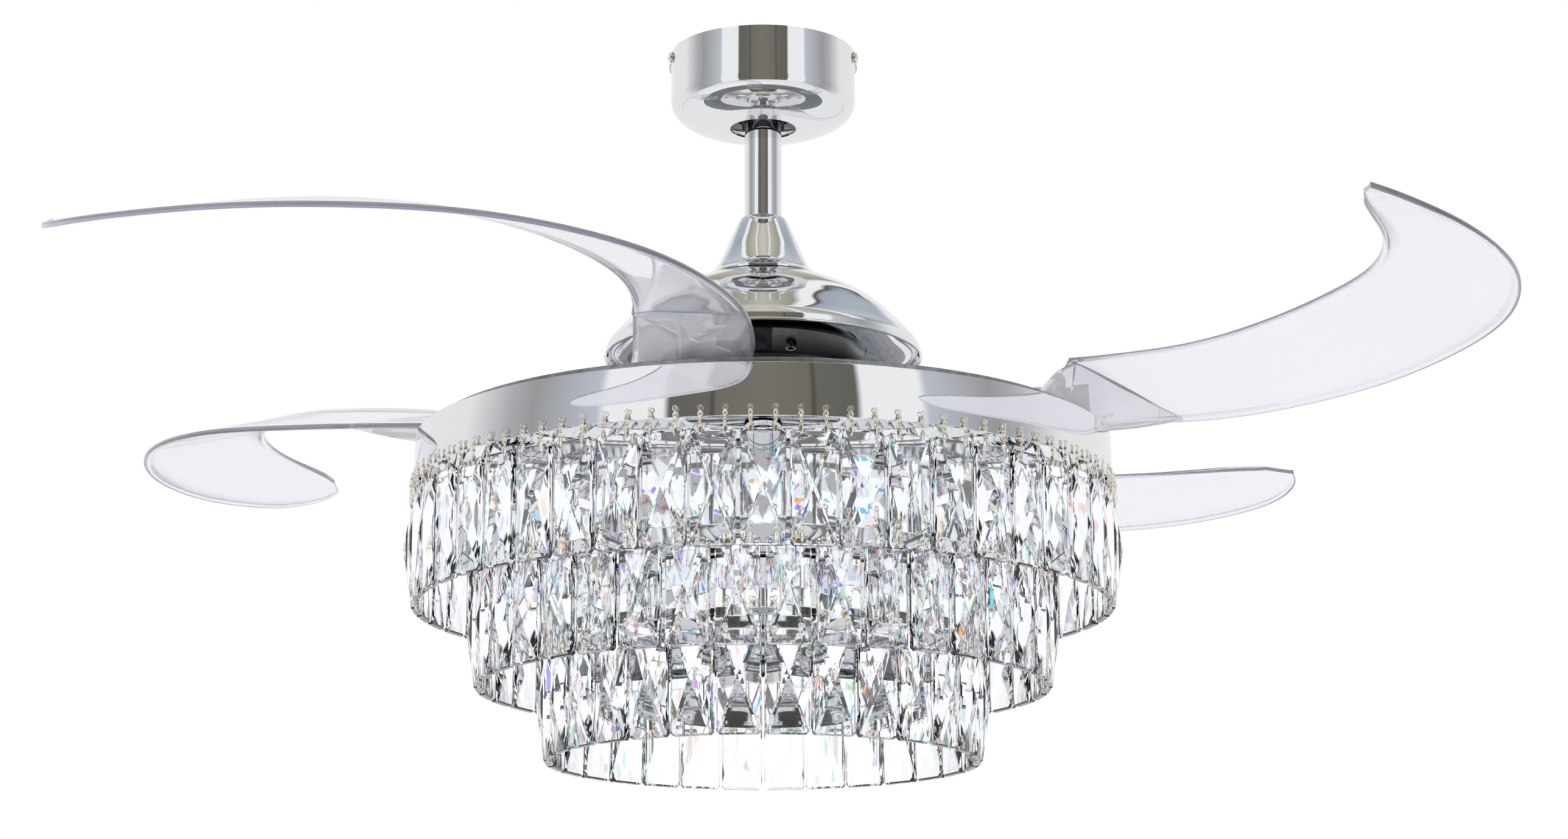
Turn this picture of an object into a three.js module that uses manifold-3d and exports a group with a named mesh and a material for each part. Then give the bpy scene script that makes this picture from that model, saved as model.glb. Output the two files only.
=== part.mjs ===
// Retractable blade ceiling fan with a three tier crystal light.
//
// Millimetres, +Z up. The origin is the middle of the ceiling bracket's top face, so the
// whole fan hangs below z = 0. The blades are drawn swung open, as they are while the
// fan turns. Blade 1 points right and front, and the others follow at quarter turns.

import * as THREE from 'three';
import { mergeVertices } from 'three/addons/utils/BufferGeometryUtils.js';
import Module from 'manifold-3d';

const wasm = await Module();
wasm.setup();

// ---------------------------------------------------------------- driving dimensions

// gaps between separate pieces
const SEAT_GAP = 0.4;
const TURN_GAP = 0.6;

// canopy, the chrome cup at the ceiling
const CANOPY_R = 69.5;
const CANOPY_H = 58.2;
const CANOPY_WALL = 1.5;
const CANOPY_HOLE_R = 24.8;
const CANOPY_SCREW_ANGLE = 10;
const CANOPY_SCREW_DROP = 6;

// ceiling bracket inside the canopy
const BRACKET_SHEET = 2.5;
const BRACKET_W = 34;
const BRACKET_LEG_X = 39;
const BRACKET_FLANGE_DROP = 13;
const BRACKET_SLOT_LENGTH = 12;
const BRACKET_SLOT_W = 5.5;
const SEAT_HOLE_R = 20;
const CRADLE_W = 48;
const TERMINAL_LENGTH = 24;
const TERMINAL_W = 12;
const TERMINAL_H = 11;

// hanger ball and downrod
const BALL_R = 26;
const BALL_HEADROOM = 3.5;
const BALL_FLAT = 18;
const ROD_R = 13.85;
const ROD_WALL = 2;
const ROD_SHOWING = 70.6;
const ROD_SOCKET = 30;
const PIN_R = 2.5;
const HANGER_PIN_RISE = 11;

// coupling under the rod and its bell shaped cover
const COVER_H = 47.2;
const COVER_TOP_R = 17;
const COVER_BASE_R = 41;
const COVER_WALL = 1.4;
const COUPLING_R = 19;
const COUPLING_TOP_DROP = 16;
const COUPLING_FOOT_R = 34;
const COUPLING_FOOT = 4;
const COUPLING_FOOT_DROP = 7;
const COUPLING_PIN_DROP = 24;

// upper dome and the black frame that holds it
const DOME_R = 117.2;
const DOME_H = 62;
const DOME_WALL = 1.5;
const DOME_LIP = 1.2;
const DOME_SCREW_INSET = 37.2;
const FRAME_SHEET = 3;
const FRAME_ARM_W = 14;
const FRAME_POST_R = 4.5;
const FRAME_POST_ANGLE = 60;
const FRAME_POST_PITCH_R = 42;

// grey dish over the motor
const DISH_R = 77;
const DISH_DEPTH = 19;
const DISH_SHEET = 2;
const DISH_ABOVE_LIP = 7;

// small fasteners
const SCREW_HEAD_R = 4.2;
const SCREW_HEAD_H = 2.8;
const SCREW_SHANK_R = 1.8;

// motor
const SHAFT_R = 7;
const SHAFT_BORE_R = 4.5;
const CASE_R = 95;
const CASE_WALL = 2.5;
const CASE_TOP_DROP = 3;
const CASE_COVER_H = 26;
const CASE_COVER_RIM = 4;
const CASE_HUB_R = 28;
const BEARING_R = 14;
const BEARING_H = 8;
const STATOR_R = 68;
const STATOR_H = 16;
const STATOR_DROP = 32;
const WINDING_H = 7;
const STATOR_TEETH = 6;

// rotating tray that carries the blades
const BLADE_SPACE = 65.2;
const TRAY_RISE = 5.6;
const TRAY_INSET = 9.5;
const TRAY_SHEET = 3;
const TRAY_RIM = 5;
const BUSH_R = 13;
const BUSH_H = 2;

// blade swing gears
const PIVOT_INSET = 50.5;
const PINION_TEETH = 18;
const SYNC_TEETH = 64;
const GEAR_BACKLASH = 0.6;
const GEAR_H = 6;
const PIVOT_SHAFT_R = 6;
const SPRING_R = 9.6;
const SPRING_WIRE_R = 0.9;
const SPRING_PITCH = 2.4;
const SPRING_TURNS = 3;
const RETAINER_H = 2;

// blades
const PIVOT_ANGLE = -14.3;
const OPEN_SWING = 114.3;
const BLADE_INNER_INSET = 41;
const BLADE_OUTER_REACH = 62;
const BLADE_THICKNESS = 3;
const BLADE_TOP_RISE = 0.5;
const BLADE_DEPTH = 49;
const ROOT_R = 41;
const ROOT_NECK_RISE = 0.32;
const ROOT_NECK_LEAN = 0.4;
const ROOT_LENGTH = 116;
const ROOT_W = 41;
const ROOT_WALL = 2.6;
const ROOT_BOSS_R = 12;
const ROOT_BOSS_DEPTH = 15;
const RIB = 2;

// light pan and its three hoops of crystals
const BAND_R = 255.5;
const BAND_H = 37;
const HOOP_WALL = 1.5;
const PAN_SHEET = 2;
const PAN_RISE = 14;
const TIER_INSET = [0, 47, 98];
const TIER_DROP = [0, 58, 111];
const TIER_COUNT = [48, 38, 30];
const CRYSTAL_W = 30.5;
const CRYSTAL_H = 79;
const CRYSTAL_EDGE = 6;
const CRYSTAL_CROWN = 6.5;
const CRYSTAL_HANG = 8;
const HOOK_W = 3;
const HOOK_INSET = 0.2;
const HOOK_OVERLAP = 4;
const STRUT_COUNT = 3;
const STRUT_SHEET = 2;
const STRUT_W = 14;
const STRUT_FOOT = 16;

// lamps
const STEM_R = 14;
const STEM_WALL = 2;
const STEM_H = 68;
const HUB_R = 60;
const HUB_SHEET = 6;
const LAMP_COUNT = 4;
const LAMP_PITCH_R = 42;
const HOLDER_R = 13;
const HOLDER_H = 36;
const BULB_R = 7.5;
const BULB_H = 34;
const NUT_R = 10.5;
const NUT_H = 6;

// facets round a turned piece, by how large it is
const FINE = 26;
const MEDIUM = 18;
const SMALL = 10;
const TINY = 6;

// ---------------------------------------------------------------- finishes

const finish = (color, metalness, roughness, opacity = 1) =>
  new THREE.MeshStandardMaterial({ color, metalness, roughness, opacity, transparent: opacity < 1 });

const CHROME = finish(0xd9dcdf, 1, 0.05);
const STEEL = finish(0x9a9ca0, 1, 0.35);
const BLACK_PAINT = finish(0x141415, 0.2, 0.45);
const BRASS = finish(0xb79b77, 1, 0.25);
const CLEAR_PLASTIC = finish(0xe6e4ee, 0, 0.05, 0.35);
const CRYSTAL_GLASS = finish(0xf4f7fa, 0, 0.02, 0.4);
const NYLON = finish(0xdedad0, 0, 0.5);
const COPPER = finish(0xa5532a, 1, 0.35);
const RUBBER = finish(0x1b1b1c, 0, 0.8);
const BULB_GLASS = finish(0xfdfbf3, 0, 0.03, 0.4);

// ---------------------------------------------------------------- solids

const radians = THREE.MathUtils.degToRad;
const clamp = THREE.MathUtils.clamp;
const v2 = (x, y) => new THREE.Vector2(x, y);

// The closed solid of a geometry: vertices merged, slivers dropped and faces turned out.
function solidOf(geometry) {
  const bare = geometry.clone();
  bare.deleteAttribute('normal');
  bare.deleteAttribute('uv');
  const merged = mergeVertices(bare, 1e-4);
  const index = merged.index.array;
  const triangles = [];
  for (let i = 0; i < index.length; i += 3) {
    const [a, b, c] = [index[i], index[i + 1], index[i + 2]];
    if (a !== b && b !== c && c !== a) triangles.push(a, b, c);
  }
  const build = (list) => new wasm.Manifold(new wasm.Mesh({
    numProp: 3,
    vertProperties: new Float32Array(merged.attributes.position.array),
    triVerts: new Uint32Array(list),
  }));
  if (signedVolume(merged.attributes.position, triangles) < 0) triangles.reverse();
  return build(triangles);
}

function signedVolume(position, triangles) {
  const [a, b, c] = [new THREE.Vector3(), new THREE.Vector3(), new THREE.Vector3()];
  let volume = 0;
  for (let i = 0; i < triangles.length; i += 3) {
    a.fromBufferAttribute(position, triangles[i]);
    b.fromBufferAttribute(position, triangles[i + 1]);
    c.fromBufferAttribute(position, triangles[i + 2]);
    volume += a.dot(b.cross(c)) / 6;
  }
  return volume;
}

function geometryOf(solid) {
  const mesh = solid.getMesh();
  const geometry = new THREE.BufferGeometry();
  geometry.setAttribute('position', new THREE.BufferAttribute(new Float32Array(mesh.vertProperties), 3));
  geometry.setIndex(new THREE.BufferAttribute(new Uint32Array(mesh.triVerts), 1));
  geometry.computeVertexNormals();
  return geometry;
}

const join = (first, ...rest) => rest.reduce((sum, solid) => sum.add(solid), first);
const cut = (first, ...rest) => rest.reduce((left, solid) => left.subtract(solid), first);

// A solid turned about Z from [radius, height] pairs, closed on the axis or on itself.
function turned(profile, segments) {
  const points = profile.map(([radius, height]) => v2(radius, height));
  const [first, last] = [points[0], points[points.length - 1]];
  if (first.x > 0 || last.x > 0) points.push(first.clone());
  return solidOf(new THREE.LatheGeometry(points, segments).rotateX(Math.PI / 2));
}

// A thin turned shell: its outside profile and the same profile moved in by the wall.
function turnedShell(outside, wall, segments) {
  const inside = outside.map(([radius, height], i) => {
    const [r0, h0] = outside[Math.max(i - 1, 0)];
    const [r1, h1] = outside[Math.min(i + 1, outside.length - 1)];
    const length = Math.hypot(r1 - r0, h1 - h0);
    return [radius + (h1 - h0) / length * wall, height - (r1 - r0) / length * wall];
  });
  return turned([...outside, ...inside.reverse()], segments);
}

const disc = (radius, bottom, top, segments) =>
  turned([[0, top], [radius, top], [radius, bottom], [0, bottom]], segments);

const ring = (inner, outer, bottom, top, segments) =>
  turned([[inner, top], [outer, top], [outer, bottom], [inner, bottom]], segments);

const box = (x0, x1, y0, y1, z0, z1) => solidOf(new THREE.BoxGeometry(x1 - x0, y1 - y0, z1 - z0)
  .translate((x0 + x1) / 2, (y0 + y1) / 2, (z0 + z1) / 2));

// A flat outline of [x, y] pairs raised from one height to another.
function plate(outline, bottom, top, holes = []) {
  const shape = new THREE.Shape(outline.map(([x, y]) => v2(x, y)));
  for (const hole of holes) shape.holes.push(new THREE.Path(hole.map(([x, y]) => v2(x, y))));
  const settings = { depth: top - bottom, bevelEnabled: false };
  return solidOf(new THREE.ExtrudeGeometry(shape, settings).translate(0, 0, bottom));
}

// A rod along X, Y or any level direction, given by its angle about Z in degrees.
function levelRod(radius, from, to, angle, height, segments) {
  const rod = new THREE.CylinderGeometry(radius, radius, to - from, segments);
  rod.rotateZ(-Math.PI / 2).translate((from + to) / 2, 0, 0);
  return solidOf(rod.rotateZ(radians(angle)).translate(0, 0, height));
}

const upright = (radius, x, y, bottom, top, segments) =>
  disc(radius, bottom, top, segments).translate([x, y, 0]);

// A solid through rings of points that all have the same count, closed by a cap at each end.
function loft(rings) {
  const count = rings[0].length;
  const position = rings.flat().flat();
  const index = [];
  for (let r = 0; r + 1 < rings.length; r++) {
    for (let i = 0; i < count; i++) {
      const [a, b] = [r * count + i, r * count + (i + 1) % count];
      index.push(a, b, b + count, a, b + count, a + count);
    }
  }
  const cap = (first, points) => {
    const flat = flattened(points);
    return THREE.ShapeUtils.triangulateShape(flat, []).map((face) => face.map((i) => first + i));
  };
  const down = THREE.ShapeUtils.isClockWise(flattened(rings[0]));
  for (const [a, b, c] of cap(0, rings[0])) index.push(...(down ? [a, b, c] : [a, c, b]));
  const last = (rings.length - 1) * count;
  for (const [a, b, c] of cap(last, rings.at(-1))) index.push(...(down ? [a, c, b] : [a, b, c]));
  const geometry = new THREE.BufferGeometry();
  geometry.setAttribute('position', new THREE.Float32BufferAttribute(position, 3));
  geometry.setIndex(index);
  return solidOf(geometry);
}

// A ring of points seen square on to its own plane, for filling its cap.
function flattened(points) {
  const at = (i) => new THREE.Vector3(...points[i % points.length]);
  const normal = new THREE.Vector3();
  for (let i = 0; i < points.length; i++) normal.add(at(i).cross(at(i + 1)));
  normal.normalize();
  const across = Math.abs(normal.z) > 0.7 ? new THREE.Vector3(1, 0, 0) : new THREE.Vector3(0, 0, 1);
  const side = across.cross(normal).normalize();
  const up = normal.clone().cross(side);
  return points.map((_, i) => v2(at(i).dot(side), at(i).dot(up)));
}

// A pan headed screw whose shank points down from the face that its head sits on.
function screw(length) {
  return turned([
    [0, SCREW_HEAD_H],
    [SCREW_HEAD_R * 0.7, SCREW_HEAD_H],
    [SCREW_HEAD_R, 0],
    [SCREW_SHANK_R, 0],
    [SCREW_SHANK_R, -length],
    [0, -length],
  ], TINY);
}

// ---------------------------------------------------------------- scene graph

const fan = new THREE.Group();

function addPart(name, solid, material, parent = fan) {
  const mesh = new THREE.Mesh(geometryOf(solid), material);
  mesh.name = name;
  parent.add(mesh);
  return mesh;
}

// ---------------------------------------------------------------- levels, from the ceiling down

const canopyTop = -SEAT_GAP;
const canopyBottom = canopyTop - CANOPY_H;
const ballZ = -BRACKET_SHEET - BALL_HEADROOM - BALL_R;
const seatZ = ballZ - Math.sqrt(BALL_R ** 2 - SEAT_HOLE_R ** 2);
const rodTop = ballZ + BALL_FLAT;
const coverTop = canopyBottom - ROD_SHOWING;
const rodBottom = coverTop - ROD_SOCKET;
const coverBottom = coverTop - COVER_H;
const domeTop = coverBottom - SEAT_GAP;
const domeBottom = domeTop - DOME_H;
const couplingTop = coverTop - COUPLING_TOP_DROP;
const footTop = domeTop - COUPLING_FOOT_DROP;
const footBottom = footTop - COUPLING_FOOT;
const frameTop = footBottom - SEAT_GAP;
const dishRim = domeBottom + DISH_ABOVE_LIP;
const dishTop = dishRim + DISH_DEPTH;
const bandTop = domeBottom - BLADE_SPACE;
const bandBottom = bandTop - BAND_H;
const trayTop = bandTop + TRAY_RISE;
const trayBottom = trayTop - TRAY_SHEET;
const bushBottom = trayBottom - BUSH_H;
const springHeight = SPRING_TURNS * SPRING_PITCH + 2 * SPRING_WIRE_R;
const gearTop = bushBottom - springHeight - 2 * SEAT_GAP;
const gearBottom = gearTop - GEAR_H;
const hubBottom = gearBottom - SEAT_GAP - RETAINER_H;
const panTop = hubBottom - 2 * TURN_GAP - 1;
const panBottom = panTop - PAN_SHEET;
const bladeTop = domeBottom + BLADE_TOP_RISE;
const rootBottom = trayTop + SEAT_GAP;
const caseTop = domeBottom + CASE_TOP_DROP;
const caseJoint = caseTop - CASE_COVER_H;
const caseFloor = rootBottom;

// circle that the blades' pivots stand on, and the tooth size that fits it
const pivotR = BAND_R - PIVOT_INSET;
const gearModule = 2 * pivotR / (PINION_TEETH + SYNC_TEETH);

// ---------------------------------------------------------------- canopy and ceiling bracket

const canopySides = [
  -CANOPY_SCREW_ANGLE,
  CANOPY_SCREW_ANGLE,
  180 - CANOPY_SCREW_ANGLE,
  180 + CANOPY_SCREW_ANGLE,
];
const canopyScrewZ = canopyTop - CANOPY_SCREW_DROP;
const flangeX = Math.sqrt((CANOPY_R - CANOPY_WALL - 1.5) ** 2 - (BRACKET_W / 2) ** 2);
const canopyInnerR = CANOPY_R - CANOPY_WALL;

function makeCanopy() {
  const corner = 16;
  const side = canopyBottom + corner * 1.35;
  const bend = new THREE.QuadraticBezierCurve(
    v2(CANOPY_R, side),
    v2(CANOPY_R, canopyBottom + corner * 0.42),
    v2(CANOPY_R * 0.62, canopyBottom + 1.1),
  );
  const outside = [
    [CANOPY_R, canopyTop],
    ...bend.getPoints(3).map((p) => [p.x, p.y]),
    [CANOPY_HOLE_R, canopyBottom],
  ];
  const shell = turnedShell(outside, CANOPY_WALL, FINE);
  const slotR = SCREW_SHANK_R + TURN_GAP;
  const slots = canopySides.flatMap((angle) => [
    levelRod(slotR, canopyInnerR - 6, CANOPY_R + 2, angle, canopyScrewZ, TINY),
    box(canopyInnerR - 6, CANOPY_R + 2, -slotR, slotR, canopyScrewZ, 1).rotate([0, 0, angle]),
  ]);
  return cut(shell, ...slots);
}

// Top plate with a leg at each side, the cradle that the ball sits in, and end flanges.
function makeCeilingBracket() {
  const legTop = -BRACKET_SHEET;
  const cradleTop = seatZ;
  const half = BRACKET_W / 2;
  const strip = (x0, x1, z0, z1) => box(x0, x1, -half, half, z0, z1);
  const body = join(
    strip(-flangeX, flangeX, legTop, 0),
    strip(-flangeX, -flangeX + BRACKET_SHEET, -BRACKET_FLANGE_DROP, 0),
    strip(flangeX - BRACKET_SHEET, flangeX, -BRACKET_FLANGE_DROP, 0),
    strip(-BRACKET_LEG_X, -BRACKET_LEG_X + BRACKET_SHEET, cradleTop - BRACKET_SHEET, 0),
    strip(BRACKET_LEG_X - BRACKET_SHEET, BRACKET_LEG_X, cradleTop - BRACKET_SHEET, 0),
    box(-BRACKET_LEG_X, BRACKET_LEG_X, -CRADLE_W / 2, CRADLE_W / 2, cradleTop - BRACKET_SHEET, cradleTop),
  );
  const seatR = SEAT_HOLE_R + SEAT_GAP;
  const mouth = ROD_R + 2;
  const slotX = (BRACKET_LEG_X + flangeX) / 2;
  const slot = (x) => box(x - BRACKET_SLOT_W / 2, x + BRACKET_SLOT_W / 2,
    -BRACKET_SLOT_LENGTH / 2, BRACKET_SLOT_LENGTH / 2, legTop - 1, 1);
  const screwHoles = canopySides.map((angle) =>
    levelRod(SCREW_SHANK_R + TURN_GAP, flangeX - 8, CANOPY_R, angle, canopyScrewZ, TINY));
  return cut(
    body,
    disc(seatR, cradleTop - BRACKET_SHEET - 1, cradleTop + 1, MEDIUM),
    box(-mouth, mouth, 0, CRADLE_W, cradleTop - BRACKET_SHEET - 1, cradleTop + 1),
    slot(slotX - 1),
    slot(1 - slotX),
    ...screwHoles,
  );
}

// Three way block under the bracket's left end, where the house wires are joined.
function makeTerminalBlock() {
  const top = -BRACKET_SHEET - SEAT_GAP;
  const x = -(BRACKET_LEG_X + flangeX) / 2;
  const body = box(x - TERMINAL_W / 2, x + TERMINAL_W / 2,
    -TERMINAL_LENGTH / 2, TERMINAL_LENGTH / 2, top - TERMINAL_H, top);
  const pitch = TERMINAL_LENGTH / 3;
  const mouths = [-1, 0, 1].map((i) =>
    levelRod(2.2, -TERMINAL_W, TERMINAL_W, 0, top - TERMINAL_H / 2, TINY).translate([x, i * pitch, 0]));
  return cut(body, ...mouths);
}

addPart('ceiling_bracket', makeCeilingBracket(), STEEL);
addPart('canopy', makeCanopy(), CHROME);
addPart('terminal_block', makeTerminalBlock(), NYLON);
canopySides.forEach((angle, i) => {
  const pinned = screw(CANOPY_R - flangeX + BRACKET_SHEET + 2).rotate([0, 90, 0]);
  const place = pinned.translate([CANOPY_R + SEAT_GAP, 0, canopyScrewZ]).rotate([0, 0, angle]);
  addPart(`canopy_screw_${i + 1}`, place, BRASS);
});

// ---------------------------------------------------------------- hanger ball, rod and coupling

const hangerPinZ = ballZ + HANGER_PIN_RISE;
const hangerPinHalf = Math.sqrt(BALL_R ** 2 - HANGER_PIN_RISE ** 2) - 1.5;
const couplingPinZ = coverTop - COUPLING_PIN_DROP;
const pinHoleR = PIN_R + SEAT_GAP;
const shaftTop = rodBottom - 6;

function makeHangerBall() {
  const points = [[0, ballZ + BALL_FLAT], [Math.sqrt(BALL_R ** 2 - BALL_FLAT ** 2), ballZ + BALL_FLAT]];
  const steps = 7;
  const start = Math.acos(BALL_FLAT / BALL_R);
  for (let i = 1; i <= steps; i++) {
    const angle = start + (Math.PI - start) * i / steps;
    points.push([BALL_R * Math.sin(angle), ballZ + BALL_R * Math.cos(angle)]);
  }
  points[points.length - 1][0] = 0;
  return cut(
    turned(points, MEDIUM),
    disc(ROD_R + SEAT_GAP, ballZ - BALL_R - 1, rodTop + 1, MEDIUM),
    levelRod(pinHoleR, -BALL_R, BALL_R, 90, hangerPinZ, TINY),
  );
}

const makeDownrod = () => cut(
  ring(ROD_R - ROD_WALL, ROD_R, rodBottom, rodTop, MEDIUM),
  levelRod(pinHoleR, -BALL_R, BALL_R, 90, hangerPinZ, TINY),
  levelRod(pinHoleR, -BALL_R, BALL_R, 0, couplingPinZ, TINY),
);

// Sleeve for the rod above, bore for the motor shaft below, and a foot under the dome.
function makeCoupling() {
  const socketFloor = rodBottom - SEAT_GAP;
  return cut(
    turned([
      [ROD_R + SEAT_GAP, couplingTop],
      [COUPLING_R, couplingTop],
      [COUPLING_R, footTop],
      [COUPLING_FOOT_R, footTop],
      [COUPLING_FOOT_R, footBottom],
      [SHAFT_R + SEAT_GAP, footBottom],
      [SHAFT_R + SEAT_GAP, socketFloor],
      [ROD_R + SEAT_GAP, socketFloor],
    ], MEDIUM),
    levelRod(pinHoleR, -2 * COUPLING_R, 2 * COUPLING_R, 0, couplingPinZ, TINY),
  );
}

function makeCouplingCover() {
  const shape = new THREE.SplineCurve([
    v2(COVER_TOP_R - 1.8, -0.005),
    v2(COVER_TOP_R + 1.2, -0.06),
    v2(COVER_TOP_R + (COVER_BASE_R - COVER_TOP_R) * 0.31, -0.35),
    v2(COVER_TOP_R + (COVER_BASE_R - COVER_TOP_R) * 0.54, -0.63),
    v2(COVER_TOP_R + (COVER_BASE_R - COVER_TOP_R) * 0.79, -0.87),
    v2(COVER_BASE_R, -0.97),
  ]);
  const outside = shape.getPoints(6).map((p) => [p.x, coverTop + p.y * COVER_H]);
  const collar = [ROD_R + 2 * SEAT_GAP, coverTop];
  const foot = [COVER_BASE_R, coverBottom];
  return turnedShell([collar, ...outside, foot], COVER_WALL, MEDIUM);
}

addPart('hanger_ball', makeHangerBall(), RUBBER);
addPart('downrod', makeDownrod(), CHROME);
addPart('hanger_pin', levelRod(PIN_R, -hangerPinHalf, hangerPinHalf, 90, hangerPinZ, TINY), STEEL);
addPart('motor_coupling', makeCoupling(), STEEL);
addPart('coupling_pin', levelRod(PIN_R, -COUPLING_R, COUPLING_R, 0, couplingPinZ, TINY), STEEL);
addPart('coupling_cover', makeCouplingCover(), CHROME);

// ---------------------------------------------------------------- dome, frame and dish

// The dome's outside, from under the coupling cover to its rolled lip.
const domeCurve = new THREE.SplineCurve([
  v2(COVER_BASE_R / DOME_R, 0),
  v2(0.52, -0.12),
  v2(0.7, -0.305),
  v2(0.815, -0.487),
  v2(0.906, -0.665),
  v2(0.985, -0.84),
  v2(1, -0.97),
]);
const domePoint = (share) => {
  const p = domeCurve.getPoint(share);
  return [p.x * DOME_R, domeTop + p.y * DOME_H];
};

// Height of the dome's outside at a radius, found by stepping along its curve.
function domeHeightAt(radius) {
  let share = 0;
  while (share < 1 && domePoint(share)[0] < radius) share += 0.002;
  return domePoint(share)[1];
}

const domeScrewR = DOME_R - DOME_SCREW_INSET;
const domeScrewZ = domeHeightAt(domeScrewR);
const domeScrewTilt = THREE.MathUtils.radToDeg(Math.atan2(
  domeHeightAt(domeScrewR - 2) - domeHeightAt(domeScrewR + 2), 4));

// Puts something drawn about the Z axis onto the dome's shoulder, square to its surface.
const onShoulder = (solid, lift, side) => solid
  .translate([0, 0, lift])
  .rotate([0, domeScrewTilt, 0])
  .translate([domeScrewR, 0, domeScrewZ])
  .rotate([0, 0, side]);

function makeDome() {
  const outside = [[COUPLING_R + 1, domeTop]];
  const steps = 6;
  for (let i = 0; i <= steps; i++) outside.push(domePoint(i / steps));
  outside.push([DOME_R + DOME_LIP, domeBottom + DOME_LIP], [DOME_R, domeBottom]);
  const shell = turnedShell(outside, DOME_WALL, FINE);
  const hole = disc(SCREW_SHANK_R + SEAT_GAP, -20, 20, TINY);
  return cut(shell, onShoulder(hole, 0, 0), onShoulder(hole, 0, 180));
}

// Black steel cross: two long arms that reach the dome's screws, two posts for the dish.
function makeFrame() {
  const arm = [];
  const bend = domeScrewR - 18;
  const tip = domeScrewR + 6;
  const under = DOME_WALL + 2 * SEAT_GAP + 0.6;
  const level = (radius) => Math.min(frameTop, domeHeightAt(radius) - under * 1.3);
  for (const x of [COUPLING_FOOT_R - 4, bend, domeScrewR - 6, tip]) arm.push([x, level(x)]);
  const below = arm.map(([x, z]) => [x, z - FRAME_SHEET]).reverse();
  const side = solidOf(new THREE.ExtrudeGeometry(
    new THREE.Shape([...arm, ...below].map(([x, z]) => v2(x, z))),
    { depth: FRAME_ARM_W, bevelEnabled: false },
  ).translate(0, 0, -FRAME_ARM_W / 2).rotateX(Math.PI / 2));
  const hub = disc(COUPLING_FOOT_R, frameTop - FRAME_SHEET, frameTop, MEDIUM);
  const postBottom = dishTopAt(FRAME_POST_PITCH_R - FRAME_POST_R) + SEAT_GAP;
  const posts = [FRAME_POST_ANGLE, FRAME_POST_ANGLE + 180].map((angle) => join(
    box(COUPLING_FOOT_R - 8, FRAME_POST_PITCH_R + 5, -6, 6, frameTop - FRAME_SHEET, frameTop),
    upright(FRAME_POST_R, FRAME_POST_PITCH_R, 0, postBottom, frameTop - 1, SMALL),
  ).rotate([0, 0, angle]));
  const taps = [FRAME_POST_ANGLE, FRAME_POST_ANGLE + 180].map((angle) =>
    upright(SCREW_SHANK_R + TURN_GAP, FRAME_POST_PITCH_R, 0, postBottom - 5, frameTop + 1, TINY)
      .rotate([0, 0, angle]));
  const hole = disc(SCREW_SHANK_R + SEAT_GAP, -20, 20, TINY);
  return cut(
    join(hub, side, side.rotate([0, 0, 180]), ...posts),
    disc(SHAFT_R + SEAT_GAP, frameTop - 10, frameTop + 10, SMALL),
    onShoulder(hole, 0, 0),
    onShoulder(hole, 0, 180),
    ...taps,
  );
}

// The dish is an inverted bowl, flat in the middle and turned down to its rim.
const dishCurve = new THREE.SplineCurve([v2(0.25, 0), v2(0.55, -0.12), v2(0.84, -0.5), v2(1, -1)]);

function dishTopAt(radius) {
  let share = 0;
  while (share < 1 && dishCurve.getPoint(share).x * DISH_R < radius) share += 0.01;
  return dishTop + dishCurve.getPoint(share).y * DISH_DEPTH;
}

function makeDish() {
  const outside = dishCurve.getPoints(4).map((p) => [p.x * DISH_R, dishTop + p.y * DISH_DEPTH]);
  const shell = turnedShell([[SHAFT_R + SEAT_GAP, dishTop], ...outside], DISH_SHEET, MEDIUM);
  const holes = [FRAME_POST_ANGLE, FRAME_POST_ANGLE + 180].map((angle) =>
    upright(SCREW_SHANK_R + TURN_GAP, FRAME_POST_PITCH_R, 0, dishRim, dishTop + 1, TINY)
      .rotate([0, 0, angle]));
  return cut(shell, ...holes);
}

addPart('upper_dome', makeDome(), CHROME);
addPart('motor_frame', makeFrame(), BLACK_PAINT);
addPart('top_dish', makeDish(), STEEL);
[0, 180].forEach((side, i) => {
  addPart(`dome_screw_${i + 1}`, onShoulder(screw(7), SEAT_GAP, side), STEEL);
});
[FRAME_POST_ANGLE, FRAME_POST_ANGLE + 180].forEach((angle, i) => {
  const seat = dishTopAt(FRAME_POST_PITCH_R + SCREW_HEAD_R) - DISH_SHEET * 1.1 - 2 * SEAT_GAP;
  const turnedOver = screw(16).rotate([180, 0, 0]).translate([FRAME_POST_PITCH_R, 0, seat]);
  addPart(`dish_screw_${i + 1}`, turnedOver.rotate([0, 0, angle]), CHROME);
});

// ---------------------------------------------------------------- motor

const shaftBottom = panBottom - NUT_H - 3;
const bearingBore = SHAFT_R + SEAT_GAP;
const bearingSeat = BEARING_R + SEAT_GAP;
const upperBearingTop = caseTop - 2;
const lowerBearingBottom = hubBottom + 2;
const statorTop = caseTop - STATOR_DROP;
const statorBottom = statorTop - STATOR_H;

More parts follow.
